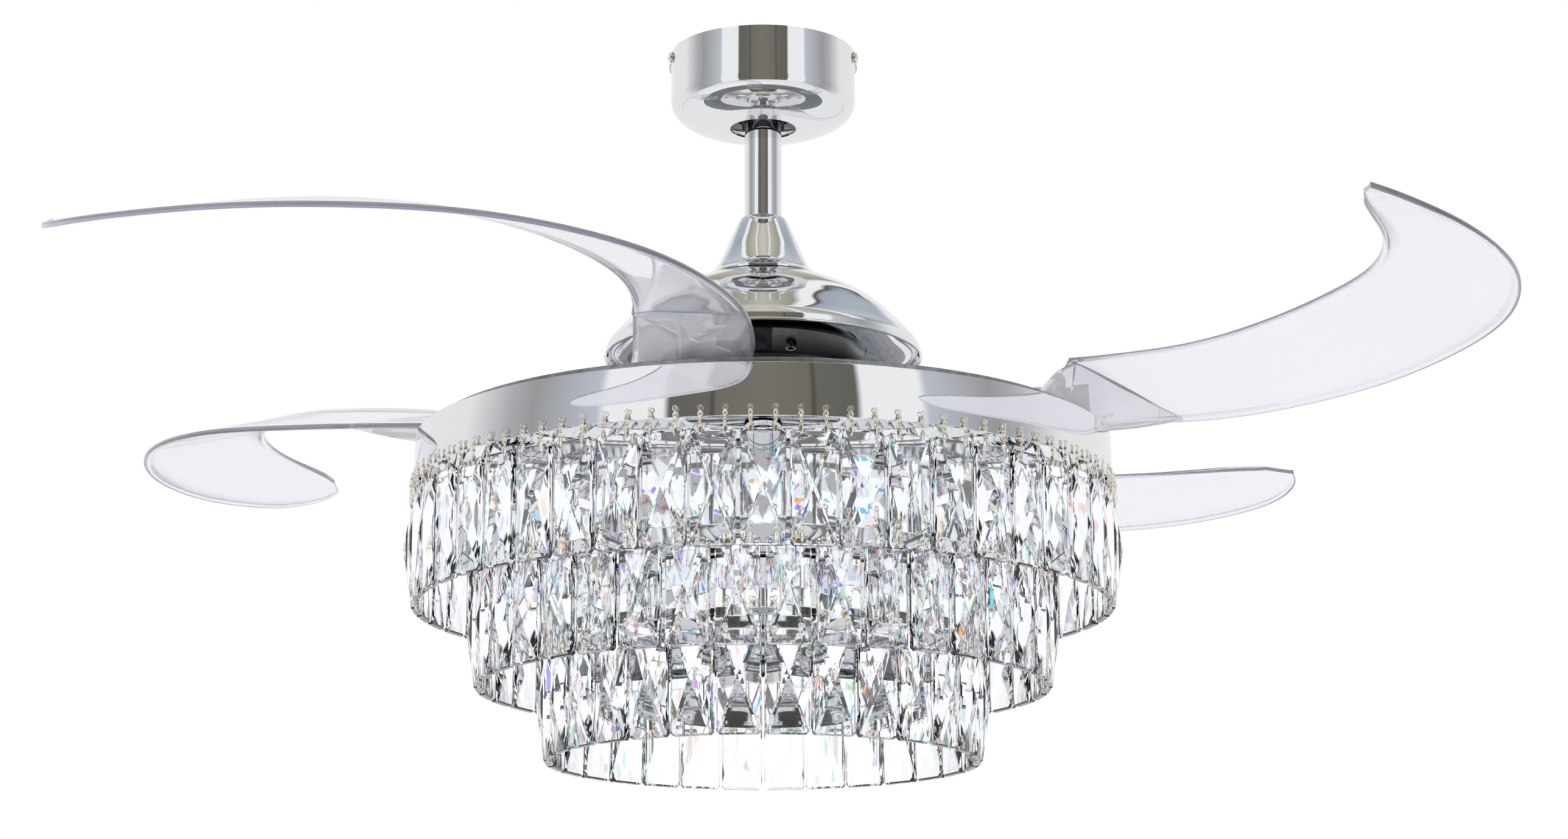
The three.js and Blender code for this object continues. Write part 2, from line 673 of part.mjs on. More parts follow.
function makeCaseCover() {
  const wall = CASE_WALL;
  const bearingFloor = upperBearingTop - BEARING_H - SEAT_GAP;
  const shoulder = new THREE.SplineCurve([
    v2(BEARING_R + 5, caseTop),
    v2(CASE_R * 0.36, caseTop - CASE_COVER_H * 0.14),
    v2(CASE_R * 0.66, caseTop - CASE_COVER_H * 0.42),
    v2(CASE_R * 0.93, caseTop - CASE_COVER_H * 0.78),
    v2(CASE_R, caseJoint + SEAT_GAP + CASE_COVER_RIM),
  ]).getPoints(3).map((p) => [p.x, p.y]);
  const rim = [CASE_R, caseJoint + SEAT_GAP];
  const shell = turnedShell([[bearingSeat, caseTop], ...shoulder, rim], wall, MEDIUM);
  const seat = turned([
    [bearingSeat, caseTop],
    [BEARING_R + 4, caseTop],
    [BEARING_R + 4, bearingFloor - 1.5],
    [bearingBore + 2, bearingFloor - 1.5],
    [bearingBore + 2, bearingFloor],
    [bearingSeat, bearingFloor],
  ], MEDIUM);
  return join(shell, seat);
}

function makeMotorCase() {
  const wall = CASE_WALL;
  const floorTop = caseFloor + wall;
  return turned([
    [CASE_R, caseJoint],
    [CASE_R, caseFloor],
    [CASE_HUB_R, caseFloor],
    [CASE_HUB_R, gearBottom],
    [CASE_HUB_R - 4, gearBottom],
    [CASE_HUB_R - 4, hubBottom],
    [bearingSeat, hubBottom],
    [bearingSeat, lowerBearingBottom + BEARING_H + SEAT_GAP],
    [bearingBore + 2, lowerBearingBottom + BEARING_H + SEAT_GAP],
    [bearingBore + 2, floorTop],
    [CASE_R - wall, floorTop],
    [CASE_R - wall, caseJoint],
  ], MEDIUM);
}

function makeStatorCore() {
  const slot = (i) => box(STATOR_R * 0.5, STATOR_R * 0.9, -STATOR_R * 0.09, STATOR_R * 0.09,
    statorBottom - 1, statorTop + 1).rotate([0, 0, i * 360 / STATOR_TEETH]);
  const slots = Array.from({ length: STATOR_TEETH }, (_, i) => slot(i));
  return cut(ring(bearingBore, STATOR_R, statorBottom, statorTop, MEDIUM), ...slots);
}

// Copper seen above the core: one raised coil for each tooth on a common ring.
function makeWinding() {
  const bottom = statorTop + SEAT_GAP;
  const inner = ring(STATOR_R * 0.46, STATOR_R * 0.56, bottom, bottom + WINDING_H * 0.6, MEDIUM);
  const coils = Array.from({ length: STATOR_TEETH }, (_, i) => box(STATOR_R * 0.5, STATOR_R * 0.88,
    -STATOR_R * 0.07, STATOR_R * 0.07, bottom, bottom + WINDING_H)
    .rotate([0, 0, (i + 0.5) * 360 / STATOR_TEETH]));
  return join(inner, ...coils);
}

const makeBearing = (bottom) => ring(bearingBore, BEARING_R, bottom, bottom + BEARING_H, SMALL);

addPart('motor_shaft', ring(SHAFT_BORE_R, SHAFT_R, shaftBottom, shaftTop, SMALL), STEEL);
addPart('case_cover', makeCaseCover(), BLACK_PAINT);
addPart('motor_case', makeMotorCase(), BLACK_PAINT);
addPart('stator_core', makeStatorCore(), STEEL);
addPart('stator_winding', makeWinding(), COPPER);
addPart('bearing_upper', makeBearing(upperBearingTop - BEARING_H), STEEL);
addPart('bearing_lower', makeBearing(lowerBearingBottom), STEEL);

// ---------------------------------------------------------------- blade tray, gears and springs

const pinionR = gearModule * PINION_TEETH / 2;
const syncR = gearModule * SYNC_TEETH / 2;
const bladeAngles = [0, 1, 2, 3].map((i) => PIVOT_ANGLE + 90 * i);

const trayR = BAND_R - TRAY_INSET;

function makeTray() {
  const sheet = turned([
    [CASE_HUB_R + TURN_GAP, trayTop],
    [trayR, trayTop],
    [trayR, trayBottom - TRAY_RIM],
    [trayR - TRAY_SHEET, trayBottom - TRAY_RIM],
    [trayR - TRAY_SHEET, trayBottom],
    [CASE_HUB_R + TURN_GAP, trayBottom],
  ], FINE);
  const at = (angle) => [pivotR * Math.cos(radians(angle)), pivotR * Math.sin(radians(angle))];
  const bushes = bladeAngles.map((angle) => upright(BUSH_R, ...at(angle), bushBottom, trayTop - 1, TINY + 2));
  const bores = bladeAngles.map((angle) =>
    upright(PIVOT_SHAFT_R + TURN_GAP, ...at(angle), bushBottom - 1, trayTop + 1, SMALL));
  return cut(join(sheet, ...bushes), ...bores);
}

// Half the angle that an involute tooth fills at a radius.
function halfTooth(teeth, radius) {
  const pitchR = gearModule * teeth / 2;
  const baseR = pitchR * Math.cos(radians(20));
  const involute = (r) => {
    const slope = Math.acos(Math.min(1, baseR / Math.max(r, baseR)));
    return Math.tan(slope) - slope;
  };
  return Math.PI / (2 * teeth) - GEAR_BACKLASH / (4 * pitchR) + involute(pitchR) - involute(radius);
}

// The outline of a gear that has teeth only where `keeps` says so, at angles in degrees.
function gearOutline(teeth, flankRadii, keeps) {
  const rootR = gearModule * (teeth / 2 - 1.25);
  const pitch = 2 * Math.PI / teeth;
  const outline = [];
  const add = (radius, angle) => outline.push([radius * Math.cos(angle), radius * Math.sin(angle)]);
  for (let i = 0; i < teeth; i++) {
    const middle = i * pitch;
    if (!keeps(THREE.MathUtils.radToDeg(middle))) {
      add(rootR, middle);
      continue;
    }
    for (const radius of flankRadii) add(radius, middle - halfTooth(teeth, radius));
    for (const radius of [...flankRadii].reverse()) add(radius, middle + halfTooth(teeth, radius));
  }
  return outline;
}

const syncTurn = OPEN_SWING * PINION_TEETH / SYNC_TEETH;
const toothAngle = 360 / SYNC_TEETH;
const wrapped = (angle, turn) => (angle % turn + turn) % turn;
const circle = (radius, count, x = 0, y = 0) => Array.from({ length: count }, (_, i) =>
  [x + radius * Math.cos(2 * Math.PI * i / count), y + radius * Math.sin(2 * Math.PI * i / count)]);

// Teeth only where a pinion rolls: from just past the open end to just past the closed end.
function makeSyncGear() {
  const keeps = (angle) =>
    wrapped(angle + syncTurn + 2 * toothAngle, 90) <= syncTurn + 3.5 * toothAngle;
  const rootR = syncR - 1.25 * gearModule;
  const tipR = syncR + 0.9 * gearModule;
  const outline = gearOutline(SYNC_TEETH, [rootR, tipR], keeps);
  return plate(outline, gearBottom, gearTop, [circle(CASE_HUB_R + 2 * SEAT_GAP, MEDIUM)]);
}

// Pivot shaft with its toothed sector, drawn about its own axis with the blade closed.
function makePivotGear() {
  const step = 360 / PINION_TEETH;
  const keeps = (angle) =>
    wrapped(angle - 180 + OPEN_SWING + 2.2 * step, 360) < OPEN_SWING + 3.4 * step;
  const rootR = pinionR - 1.25 * gearModule;
  const tipR = pinionR + 0.9 * gearModule;
  const outline = gearOutline(PINION_TEETH, [rootR, tipR], keeps);
  const sector = plate(outline, gearBottom, gearTop);
  const shaft = disc(PIVOT_SHAFT_R, gearBottom - 1, rootBottom + ROOT_BOSS_DEPTH - 2, SMALL);
  return join(sector.rotate([0, 0, pinionPhase]), shaft);
}

// With the blades open a tooth of the sync gear points at each pivot, so the sector, which
// turns with the blade, needs a gap there. The blade's group is turned by the open swing.
const pinionPhase = (() => {
  const step = 360 / PINION_TEETH;
  const gapInGroup = 180 - OPEN_SWING;
  return gapInGroup - (Math.round(gapInGroup / step - 0.5) + 0.5) * step;
})();

// A torsion spring round the pivot shaft as one unbroken round wire.
class SpringPath extends THREE.Curve {
  getPoint(share, target = new THREE.Vector3()) {
    const angle = share * SPRING_TURNS * 2 * Math.PI;
    return target.set(SPRING_R * Math.cos(angle), SPRING_R * Math.sin(angle),
      share * SPRING_TURNS * SPRING_PITCH);
  }
}

function makeSpring() {
  const sides = 3;
  const wire = new THREE.Shape(circle(SPRING_WIRE_R, sides).map(([x, y]) => v2(x, y)));
  const steps = Math.round(5 * SPRING_TURNS);
  const coil = new THREE.ExtrudeGeometry(wire, { steps, bevelEnabled: false, extrudePath: new SpringPath() });
  return solidOf(coil.translate(0, 0, bushBottom - SEAT_GAP - springHeight + SPRING_WIRE_R));
}

const retainer = ring(CASE_HUB_R - 4 + TURN_GAP, CASE_HUB_R + 7, hubBottom, hubBottom + RETAINER_H, MEDIUM);

addPart('blade_tray', makeTray(), STEEL);
addPart('gear_retainer', retainer, STEEL);
const syncGear = addPart('sync_gear', makeSyncGear(), NYLON);
syncGear.rotation.z = radians(PIVOT_ANGLE);

// ---------------------------------------------------------------- blades

// Blades are drawn closed, wrapped clockwise round the fan's axis from a pivot on +X.
// Each entry of an edge is a radius from that axis, an angle clockwise from the pivot, and
// how far below the blade's highest line it lies, as a share of the blade's whole depth.
const bladeInnerR = pivotR - BLADE_INNER_INSET;
const bladeOuterR = pivotR + BLADE_OUTER_REACH;
const edgeCurve = (entries) => new THREE.CatmullRomCurve3(entries.map(([radius, angle, drop]) =>
  new THREE.Vector3(radius, angle, bladeTop - drop * BLADE_DEPTH)));

const innerEdge = edgeCurve([
  [bladeInnerR, 4.7, 0.459],
  [bladeInnerR + 1, 18, 0.38],
  [bladeInnerR + 2, 34, 0.296],
  [bladeInnerR - 0.5, 60, 0.129],
  [bladeInnerR + 1, 78, 0.043],
  [bladeInnerR + 7, 97, 0.01],
  [bladeInnerR + 16, 120, 0],
  [bladeInnerR + 28, 137, 0],
  [bladeInnerR + 41, 146, 0.002],
  [bladeInnerR + 57, 151.6, 0.01],
]);
const outerEdge = edgeCurve([
  [bladeOuterR - 20, 2, 1],
  [bladeOuterR - 18.5, 17, 1],
  [bladeOuterR - 8, 36, 0.96],
  [bladeOuterR + 0.5, 58, 0.81],
  [bladeOuterR + 0.5, 80, 0.683],
  [bladeOuterR - 0.5, 105, 0.63],
  [bladeOuterR - 0.5, 129, 0.55],
  [bladeOuterR - 3.4, 144.6, 0.41],
  [bladeOuterR - 13, 152.5, 0.237],
  [bladeOuterR - 25.6, 155.4, 0.085],
]);

// A point of the blade's middle surface, from its root to its tip and from edge to edge.
function sheetPoint(along, across, lift = 0) {
  const p = innerEdge.getPoint(along).lerp(outerEdge.getPoint(along), across);
  const turn = radians(p.y);
  return [p.x * Math.cos(turn) - pivotR, -p.x * Math.sin(turn), p.z + lift];
}

// Height of the middle surface near the root, at a radius and an angle of the closed blade.
function sheetHeight(radius, angle) {
  let [low, high] = [0, 0.6];
  let found = innerEdge.getPoint(0);
  for (let i = 0; i < 16; i++) {
    const along = (low + high) / 2;
    const [a, b] = [innerEdge.getPoint(along), outerEdge.getPoint(along)];
    found = a.clone().lerp(b, (radius - a.x) / (b.x - a.x));
    if (found.y < angle) low = along;
    else high = along;
  }
  return found.z;
}

function makeBladeSheet() {
  const stations = 18;
  const across = 2;
  const rings = [];
  for (let s = 0; s <= stations; s++) {
    const row = (side) => Array.from({ length: across + 1 }, (_, i) => {
      const edge = i === 0 || i === across ? 0.7 : 0.5;
      return sheetPoint(s / stations, i / across, side * edge * BLADE_THICKNESS);
    });
    rings.push([...row(-1), ...row(1).reverse()]);
  }
  return loft(rings);
}

// The root is a hollow skirt: round where it stands on the tray, and at the top the
// outline of the sheet's underside. Each entry is a share of the root's length along the
// blade, a share of its width outward, and the matching angle on the round.
const rootOutline = [
  [0.147, -1, -75],
  [0.388, -0.56, -42],
  [0.603, -0.2, -10],
  [0.819, 0.17, 15],
  [1, 0.46, 36],
  [0.776, 0.66, 52],
  [0.517, 0.83, 68],
  [0.259, 0.95, 88],
  [0.103, 0.88, 115],
  [0.034, 0.44, 148],
  [0.026, -0.07, 180],
  [0.06, -0.59, 225],
];

// A point of the root, along and outward from the pivot, at a height.
const rootPoint = (along, outward, height) => [outward, -along, height];

function makeRootSkirt(inset, roofDrop, bottom) {
  const centre = [ROOT_LENGTH * 0.39, ROOT_W * 0.12];
  const count = rootOutline.length;
  const base = [];
  const neck = [];
  const roof = [];
  for (let i = 0; i < count; i++) {
    const p = v2(rootOutline[i][0] * ROOT_LENGTH, rootOutline[i][1] * ROOT_W);
    const turn = radians(rootOutline[i][2]);
    base.push(rootPoint((ROOT_R - inset) * Math.cos(turn), (ROOT_R - inset) * Math.sin(turn), bottom));
    const away = Math.hypot(p.x - centre[0], p.y - centre[1]);
    const keep = (away - 1.3 * inset) / away;
    const [along, outward] = [centre[0] + (p.x - centre[0]) * keep, centre[1] + (p.y - centre[1]) * keep];
    const radius = Math.hypot(pivotR + outward, along);
    const angle = THREE.MathUtils.radToDeg(Math.atan2(along, pivotR + outward));
    roof.push(rootPoint(along, outward, sheetHeight(radius, angle) - roofDrop));
    const [low, high] = [base[i], roof[i]];
    const lean = (k, share) => low[k] + (high[k] - low[k]) * share;
    neck.push([lean(0, 1 - ROOT_NECK_LEAN), lean(1, 1 - ROOT_NECK_LEAN), lean(2, ROOT_NECK_RISE)]);
  }
  return loft([base, neck, roof]);
}

function makeBlade() {
  const outside = makeRootSkirt(0, 0, rootBottom);
  const pocket = makeRootSkirt(ROOT_WALL, -BLADE_THICKNESS, rootBottom - 0.01);
  const top = bladeTop;
  const ribAlong = box(-RIB / 2, RIB / 2, -ROOT_LENGTH, ROOT_R, rootBottom, top);
  const ribsAcross = [-0.18, 0.25].map((share) => box(-ROOT_LENGTH, ROOT_LENGTH,
    -share * ROOT_LENGTH - RIB / 2, -share * ROOT_LENGTH + RIB / 2, rootBottom, top));
  const boss = disc(ROOT_BOSS_R, rootBottom, top, TINY + 2);
  const underSheet = makeRootSkirt(0, -BLADE_THICKNESS / 4, rootBottom);
  const inside = join(boss, ribAlong, ...ribsAcross).intersect(underSheet);
  const bore = disc(PIVOT_SHAFT_R + SEAT_GAP, rootBottom - 1, rootBottom + ROOT_BOSS_DEPTH, SMALL);
  return cut(join(cut(outside, pocket), inside, makeBladeSheet()), bore);
}

const bladeSolid = makeBlade();
const pivotGearSolid = makePivotGear();
const springSolid = makeSpring();

bladeAngles.forEach((angle, i) => {
  const arm = new THREE.Group();
  arm.rotation.z = radians(angle);
  const pivot = new THREE.Group();
  pivot.position.x = pivotR;
  const swung = new THREE.Group();
  swung.rotation.z = radians(OPEN_SWING);
  fan.add(arm);
  arm.add(pivot);
  pivot.add(swung);
  addPart(`blade_${i + 1}`, bladeSolid, CLEAR_PLASTIC, swung);
  addPart(`pivot_gear_${i + 1}`, pivotGearSolid, NYLON, swung);
  addPart(`return_spring_${i + 1}`, springSolid, STEEL, pivot);
});

// ---------------------------------------------------------------- light pan and crystal tiers

const hoopOuter = TIER_INSET.map((inset) => BAND_R - inset);
const hoopTop = TIER_DROP.map((drop) => bandTop - drop);
const pointingOut = (solid, i, count) => solid.rotate([0, 0, i * 360 / count]);

// One crystal bar on +X: flat at the back, with four long facets that meet in front.
function crystalBar(backR, top) {
  const [back, front] = [backR, backR + CRYSTAL_EDGE];
  const apex = front + CRYSTAL_CROWN;
  const half = CRYSTAL_W / 2;
  const [z1, z0] = [top, top - CRYSTAL_H];
  const bevel = 1.2;
  const corners = (x, trim) => [
    [x, -half + trim, z0 + trim],
    [x, half - trim, z0 + trim],
    [x, half - trim, z1 - trim],
    [x, -half + trim, z1 - trim],
  ];
  const position = [...corners(back, bevel), ...corners(front, 0), [apex, 0, (z0 + z1) / 2]].flat();
  const index = [0, 2, 1, 0, 3, 2];
  for (let i = 0; i < 4; i++) {
    const j = (i + 1) % 4;
    index.push(i, j, j + 4, i, j + 4, i + 4, i + 4, j + 4, 8);
  }
  const geometry = new THREE.BufferGeometry();
  geometry.setAttribute('position', new THREE.Float32BufferAttribute(position, 3));
  geometry.setIndex(index);
  return solidOf(geometry);
}

// A three sided link from inside the hoop's wall down into the crystal's top.
function hookLink(faceR, top, bottom) {
  const section = [
    [faceR - HOOP_WALL + HOOK_INSET, -HOOK_W / 2],
    [faceR - HOOK_INSET, 0],
    [faceR - HOOP_WALL + HOOK_INSET, HOOK_W / 2],
  ];
  return plate(section, bottom, top);
}

function makeCrystalTier(tier) {
  const count = TIER_COUNT[tier];
  const outer = hoopOuter[tier];
  const top = hoopTop[tier];
  const bottom = top - BAND_H;
  const flat = Math.cos(Math.PI / count);
  const hoop = ring((outer - HOOP_WALL) / flat, outer / flat, bottom, top, count)
    .rotate([0, 0, 180 / count]);
  const crystalTop = bottom - CRYSTAL_HANG;
  const backR = outer + CRYSTAL_CROWN - CRYSTAL_EDGE - 6;
  const bar = crystalBar(backR, crystalTop);
  const unit = join(bar, hookLink(outer, bottom + HOOK_OVERLAP, crystalTop - HOOK_OVERLAP));
  const units = Array.from({ length: count }, (_, i) => pointingOut(unit, i, count));
  return join(hoop, ...units);
}

// The pan that closes the drum: a flat disc with its edge turned up inside the band.
function makeLampPlate() {
  const rimR = BAND_R - HOOP_WALL - TURN_GAP;
  const shell = turned([
    [SHAFT_R + SEAT_GAP, panBottom],
    [rimR, panBottom],
    [rimR, panTop + PAN_RISE],
    [rimR - PAN_SHEET, panTop + PAN_RISE],
    [rimR - PAN_SHEET, panTop],
    [SHAFT_R + SEAT_GAP, panTop],
  ], FINE);
  return shell;
}

// A bent flat bar that hangs the second and third hoops below the pan.
function makeStrut() {
  const [second, third] = [hoopOuter[1] - HOOP_WALL - SEAT_GAP, hoopOuter[2] - HOOP_WALL - SEAT_GAP];
  const top = panBottom - SEAT_GAP;
  const turn = hoopTop[1] - BAND_H - 3;
  const end = hoopTop[2] - BAND_H;
  const t = STRUT_SHEET;
  const outline = [
    [second - STRUT_FOOT, top],
    [second, top],
    [second, turn - t],
    [third, turn - t],
    [third, end],
    [third - t, end],
    [third - t, turn],
    [second - t, turn],
    [second - t, top - t],
    [second - STRUT_FOOT, top - t],
  ];
  const side = new THREE.ExtrudeGeometry(new THREE.Shape(outline.map(([x, z]) => v2(x, z))),
    { depth: STRUT_W, bevelEnabled: false });
  return solidOf(side.translate(0, 0, -STRUT_W / 2).rotateX(Math.PI / 2));
}

// Tube that covers the shaft's nut, with the hub that the lamp holders hang from.
function makeLampStem() {
  const top = panBottom - SEAT_GAP;
  const hubTop = top - STEM_H;
  return turned([
    [STEM_R - STEM_WALL, top],
    [STEM_R, top],
    [STEM_R, hubTop],
    [HUB_R, hubTop],
    [HUB_R, hubTop - HUB_SHEET],
    [0, hubTop - HUB_SHEET],
    [0, hubTop],
    [STEM_R - STEM_WALL, hubTop],
  ], MEDIUM);
}

const hubBottomZ = panBottom - SEAT_GAP - STEM_H - HUB_SHEET;
const holderTop = hubBottomZ - SEAT_GAP;
const holderBottom = holderTop - HOLDER_H;
const bulbTop = holderBottom - SEAT_GAP;

const makeHolder = () => turned([
  [0, holderTop],
  [HOLDER_R * 0.7, holderTop],
  [HOLDER_R * 0.7, holderTop - HOLDER_H * 0.25],
  [HOLDER_R, holderTop - HOLDER_H * 0.35],
  [HOLDER_R, holderBottom],
  [0, holderBottom],
], TINY + 2);

const makeBulb = () => turned([
  [0, bulbTop],
  [BULB_R * 0.85, bulbTop],
  [BULB_R * 0.85, bulbTop - BULB_H * 0.2],
  [BULB_R, bulbTop - BULB_H * 0.3],
  [BULB_R, bulbTop - BULB_H * 0.75],
  [BULB_R * 0.7, bulbTop - BULB_H * 0.92],
  [0, bulbTop - BULB_H],
], TINY + 2);

addPart('lamp_plate', makeLampPlate(), CHROME);
[0, 1, 2].forEach((tier) => addPart(`crystal_tier_${tier + 1}`, makeCrystalTier(tier), CRYSTAL_GLASS));
const strutSolid = makeStrut();
for (let i = 0; i < STRUT_COUNT; i++) {
  const strut = addPart(`tier_strut_${i + 1}`, strutSolid, CHROME);
  strut.rotation.z = radians(90 + i * 360 / STRUT_COUNT);
}
addPart('lamp_stem', makeLampStem(), CHROME);
addPart('shaft_nut', cut(
  disc(NUT_R, panBottom - SEAT_GAP - NUT_H, panBottom - SEAT_GAP, 6),
  disc(SHAFT_R + SEAT_GAP, panBottom - 20, panBottom + 5, SMALL),
), STEEL);
const holderSolid = makeHolder();
const bulbSolid = makeBulb();
for (let i = 0; i < LAMP_COUNT; i++) {
  const angle = radians(45 + i * 360 / LAMP_COUNT);
  for (const [name, solid, material] of [
    [`lamp_holder_${i + 1}`, holderSolid, BLACK_PAINT],
    [`bulb_${i + 1}`, bulbSolid, BULB_GLASS],
  ]) {
    const mesh = addPart(name, solid, material);
    mesh.position.set(LAMP_PITCH_R * Math.cos(angle), LAMP_PITCH_R * Math.sin(angle), 0);
  }
}

export default fan;
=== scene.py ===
"""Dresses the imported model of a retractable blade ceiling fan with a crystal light.

Every class is one sub-assembly. It holds its sizes in millimetres, measured down from the
ceiling face at z = 0, builds its meshes and gives them their finish and their body.
"""
from __future__ import annotations

import logging
import math
from dataclasses import dataclass, field
from enum import Enum
from typing import Any, Iterable, Optional, Sequence

import bmesh
import bpy
from mathutils import Matrix, Vector


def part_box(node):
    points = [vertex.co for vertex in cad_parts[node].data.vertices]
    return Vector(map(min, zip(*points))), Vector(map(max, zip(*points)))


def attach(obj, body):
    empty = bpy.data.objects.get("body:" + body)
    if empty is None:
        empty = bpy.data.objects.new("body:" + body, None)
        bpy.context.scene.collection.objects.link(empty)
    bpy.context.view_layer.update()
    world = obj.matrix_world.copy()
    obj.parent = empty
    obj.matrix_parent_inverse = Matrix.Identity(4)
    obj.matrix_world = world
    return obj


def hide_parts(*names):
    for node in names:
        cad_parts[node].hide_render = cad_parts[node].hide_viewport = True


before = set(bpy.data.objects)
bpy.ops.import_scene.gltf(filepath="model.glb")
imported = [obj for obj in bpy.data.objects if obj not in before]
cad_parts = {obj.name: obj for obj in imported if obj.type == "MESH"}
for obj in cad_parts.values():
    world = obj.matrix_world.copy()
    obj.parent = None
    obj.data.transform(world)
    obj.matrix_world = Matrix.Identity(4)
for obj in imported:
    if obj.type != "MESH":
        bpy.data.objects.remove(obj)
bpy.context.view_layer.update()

log = logging.getLogger("fan")
MM = 0.001
TAU = 2.0 * math.pi
SHARP = 32.0  # degrees past which an edge stays sharp
MOULD_SHARP = 40.0
Profile = list[tuple[float, float]]
Socket = bpy.types.NodeSocket
Tree = bpy.types.NodeTree


class Body(str, Enum):
    """The moving bodies of the fan that a dressed piece can ride on."""

    CEILING = "ceiling"
    HANGER = "hanger"
    ROTOR = "rotor"


class Slot(str, Enum):
    """Material slots of the record; no dressed piece here takes its finish from them, each takes a
    Finish.
    """

    CHROME = "chrome"
    STEEL = "steel"
    BLACK = "black_paint"
    BRASS = "brass_screw"
    BLADE = "clear_plastic"
    CRYSTAL = "crystal"
    RUBBER = "rubber_ball"
    HOLDER = "black_holder"
    BULB = "bulb_glass"


# ------------------------------------------------------------------ nodes and colours


def linear(colour: str) -> tuple[float, float, float, float]:
    """Turns an sRGB hex colour into linear RGBA with an alpha of one."""
    parts = [int(colour[i:i + 2], 16) / 255.0 for i in (1, 3, 5)]
    red, green, blue = (
        c / 12.92 if c <= 0.04045 else ((c + 0.055) / 1.055) ** 2.4 for c in parts)
    return red, green, blue, 1.0


WHITE = linear("#FFFFFF")


def shade(colour: str, factor: float) -> str:
    """Returns a hex colour made lighter or darker by a factor."""
    parts = [min(255, round(int(colour[i:i + 2], 16) * factor)) for i in (1, 3, 5)]
    return "#" + "".join(f"{part:02X}" for part in parts)


def add_node(
    tree: Tree, kind: str, settings: Optional[dict[str, Any]] = None,
    inputs: Optional[dict[Any, Any]] = None,
) -> bpy.types.Node:
    """Adds a node, sets its properties and fills or links its inputs.

    Args:
        tree: The node tree that gets the node.
        kind: The node's type name.
        settings: Properties of the node by name.
        inputs: Values or output sockets, by input name or place.

    Returns:
        The new node.
    """
    node = tree.nodes.new(kind)
    for key, value in (settings or {}).items():
        setattr(node, key, value)
    for key, value in (inputs or {}).items():
        if isinstance(value, Socket):
            tree.links.new(value, node.inputs[key])
        else:
            node.inputs[key].default_value = value
    return node


def calc(tree: Tree, operation: str, *values: Any) -> Socket:
    """Adds a math node on numbers or sockets and returns its result."""
    return add_node(
        tree, "ShaderNodeMath", {"operation": operation}, dict(enumerate(values))).outputs[0]


def mix(tree: Tree, factor: Any, low: Any, high: Any, blend: str = "MIX") -> Socket:
    """Adds a colour mix and returns its result."""
    return add_node(
        tree, "ShaderNodeMix", {"data_type": "RGBA", "blend_type": blend},
        {0: factor, 6: low, 7: high}).outputs[2]


def ramp(tree: Tree, factor: Socket, stops: Sequence[tuple[float, str]]) -> Socket:
    """Adds a colour ramp with stops as places and sRGB hex colours; returns its colour."""
    node = add_node(tree, "ShaderNodeValToRGB", inputs={"Fac": factor})
    elements = node.color_ramp.elements
    while len(elements) < len(stops):
        elements.new(0.5)
    for element, (place, colour) in zip(elements, stops):
        element.position = place
        element.color = linear(colour)
    return node.outputs["Color"]


# ------------------------------------------------------------------ finishes


@dataclass(frozen=True)
class Finish:
    """A surface that a material is made from; the subclasses add what each one shows."""

    name: str
    colour: str
    roughness: float
    metallic: float = 0.0

    def material(self) -> bpy.types.Material:
        """Returns the finish's material, made once."""
        found = bpy.data.materials.get(self.name)
        if found is not None:
            return found
        made = bpy.data.materials.new(self.name)
        made.use_nodes = True
        tree = made.node_tree
        shader = tree.nodes["Principled BSDF"]
        shader.inputs["Base Color"].default_value = linear(self.colour)
        shader.inputs["Roughness"].default_value = self.roughness
        shader.inputs["Metallic"].default_value = self.metallic
        self.dress(tree, shader)
        return made

    def dress(self, tree: Tree, shader: bpy.types.Node) -> None:
        """Adds the pattern nodes of this finish to its shader."""

    @staticmethod
    def place(tree: Tree, stretch: Sequence[float] = (1.0, 1.0, 1.0)) -> Socket:
        """Adds object coordinates, scaled along each axis."""
        here = add_node(tree, "ShaderNodeTexCoord").outputs["Object"]
        return add_node(
            tree, "ShaderNodeMapping", inputs={"Vector": here, "Scale": stretch}
        ).outputs["Vector"]

    def noise(
        self, tree: Tree, size_mm: float, detail: float = 3.0,
        stretch: Sequence[float] = (1.0, 1.0, 1.0),
    ) -> Socket:
        """Adds noise on object coordinates.

        Args:
            tree: The material's node tree.
            size_mm: Size of the noise's features in millimetres.
            detail: Octaves of finer noise.
            stretch: Scale of the coordinates along each axis.

        Returns:
            The noise's factor output.
        """
        return add_node(
            tree, "ShaderNodeTexNoise",
            inputs={"Vector": self.place(tree, stretch), "Scale": 1.0 / (size_mm * MM),
                    "Detail": detail},
        ).outputs["Fac"]

    @staticmethod
    def bump(
        tree: Tree, shader: bpy.types.Node, height: Socket, depth_mm: float,
        strength: float = 0.5,
    ) -> None:
        """Feeds a height into the shader's normal as a bump of a real depth.

        Args:
            tree: The material's node tree.
            shader: The shader that gets the normal.
            height: The height pattern from 0 to 1.
            depth_mm: Depth of the pattern in millimetres.
            strength: Share of the bump that is used.
        """
        made = add_node(
            tree, "ShaderNodeBump",
            inputs={"Height": height, "Distance": depth_mm * MM, "Strength": strength})
        tree.links.new(made.outputs["Normal"], shader.inputs["Normal"])

    def vary_gloss(
        self, tree: Tree, shader: bpy.types.Node, factor: Socket, less: float, more: float
    ) -> None:
        """Drives the roughness by a pattern, from less below its value to more above it."""
        made = add_node(
            tree, "ShaderNodeMapRange",
            inputs={"Value": factor, "To Min": self.roughness - less,
                    "To Max": self.roughness + more})
        tree.links.new(made.outputs["Result"], shader.inputs["Roughness"])

    @staticmethod
    def tint(
        tree: Tree, shader: bpy.types.Node, factor: Socket, stops: Sequence[tuple[float, str]]
    ) -> None:
        """Drives the base colour by a pattern through the stops of a colour ramp."""
        tree.links.new(ramp(tree, factor, stops), shader.inputs["Base Color"])


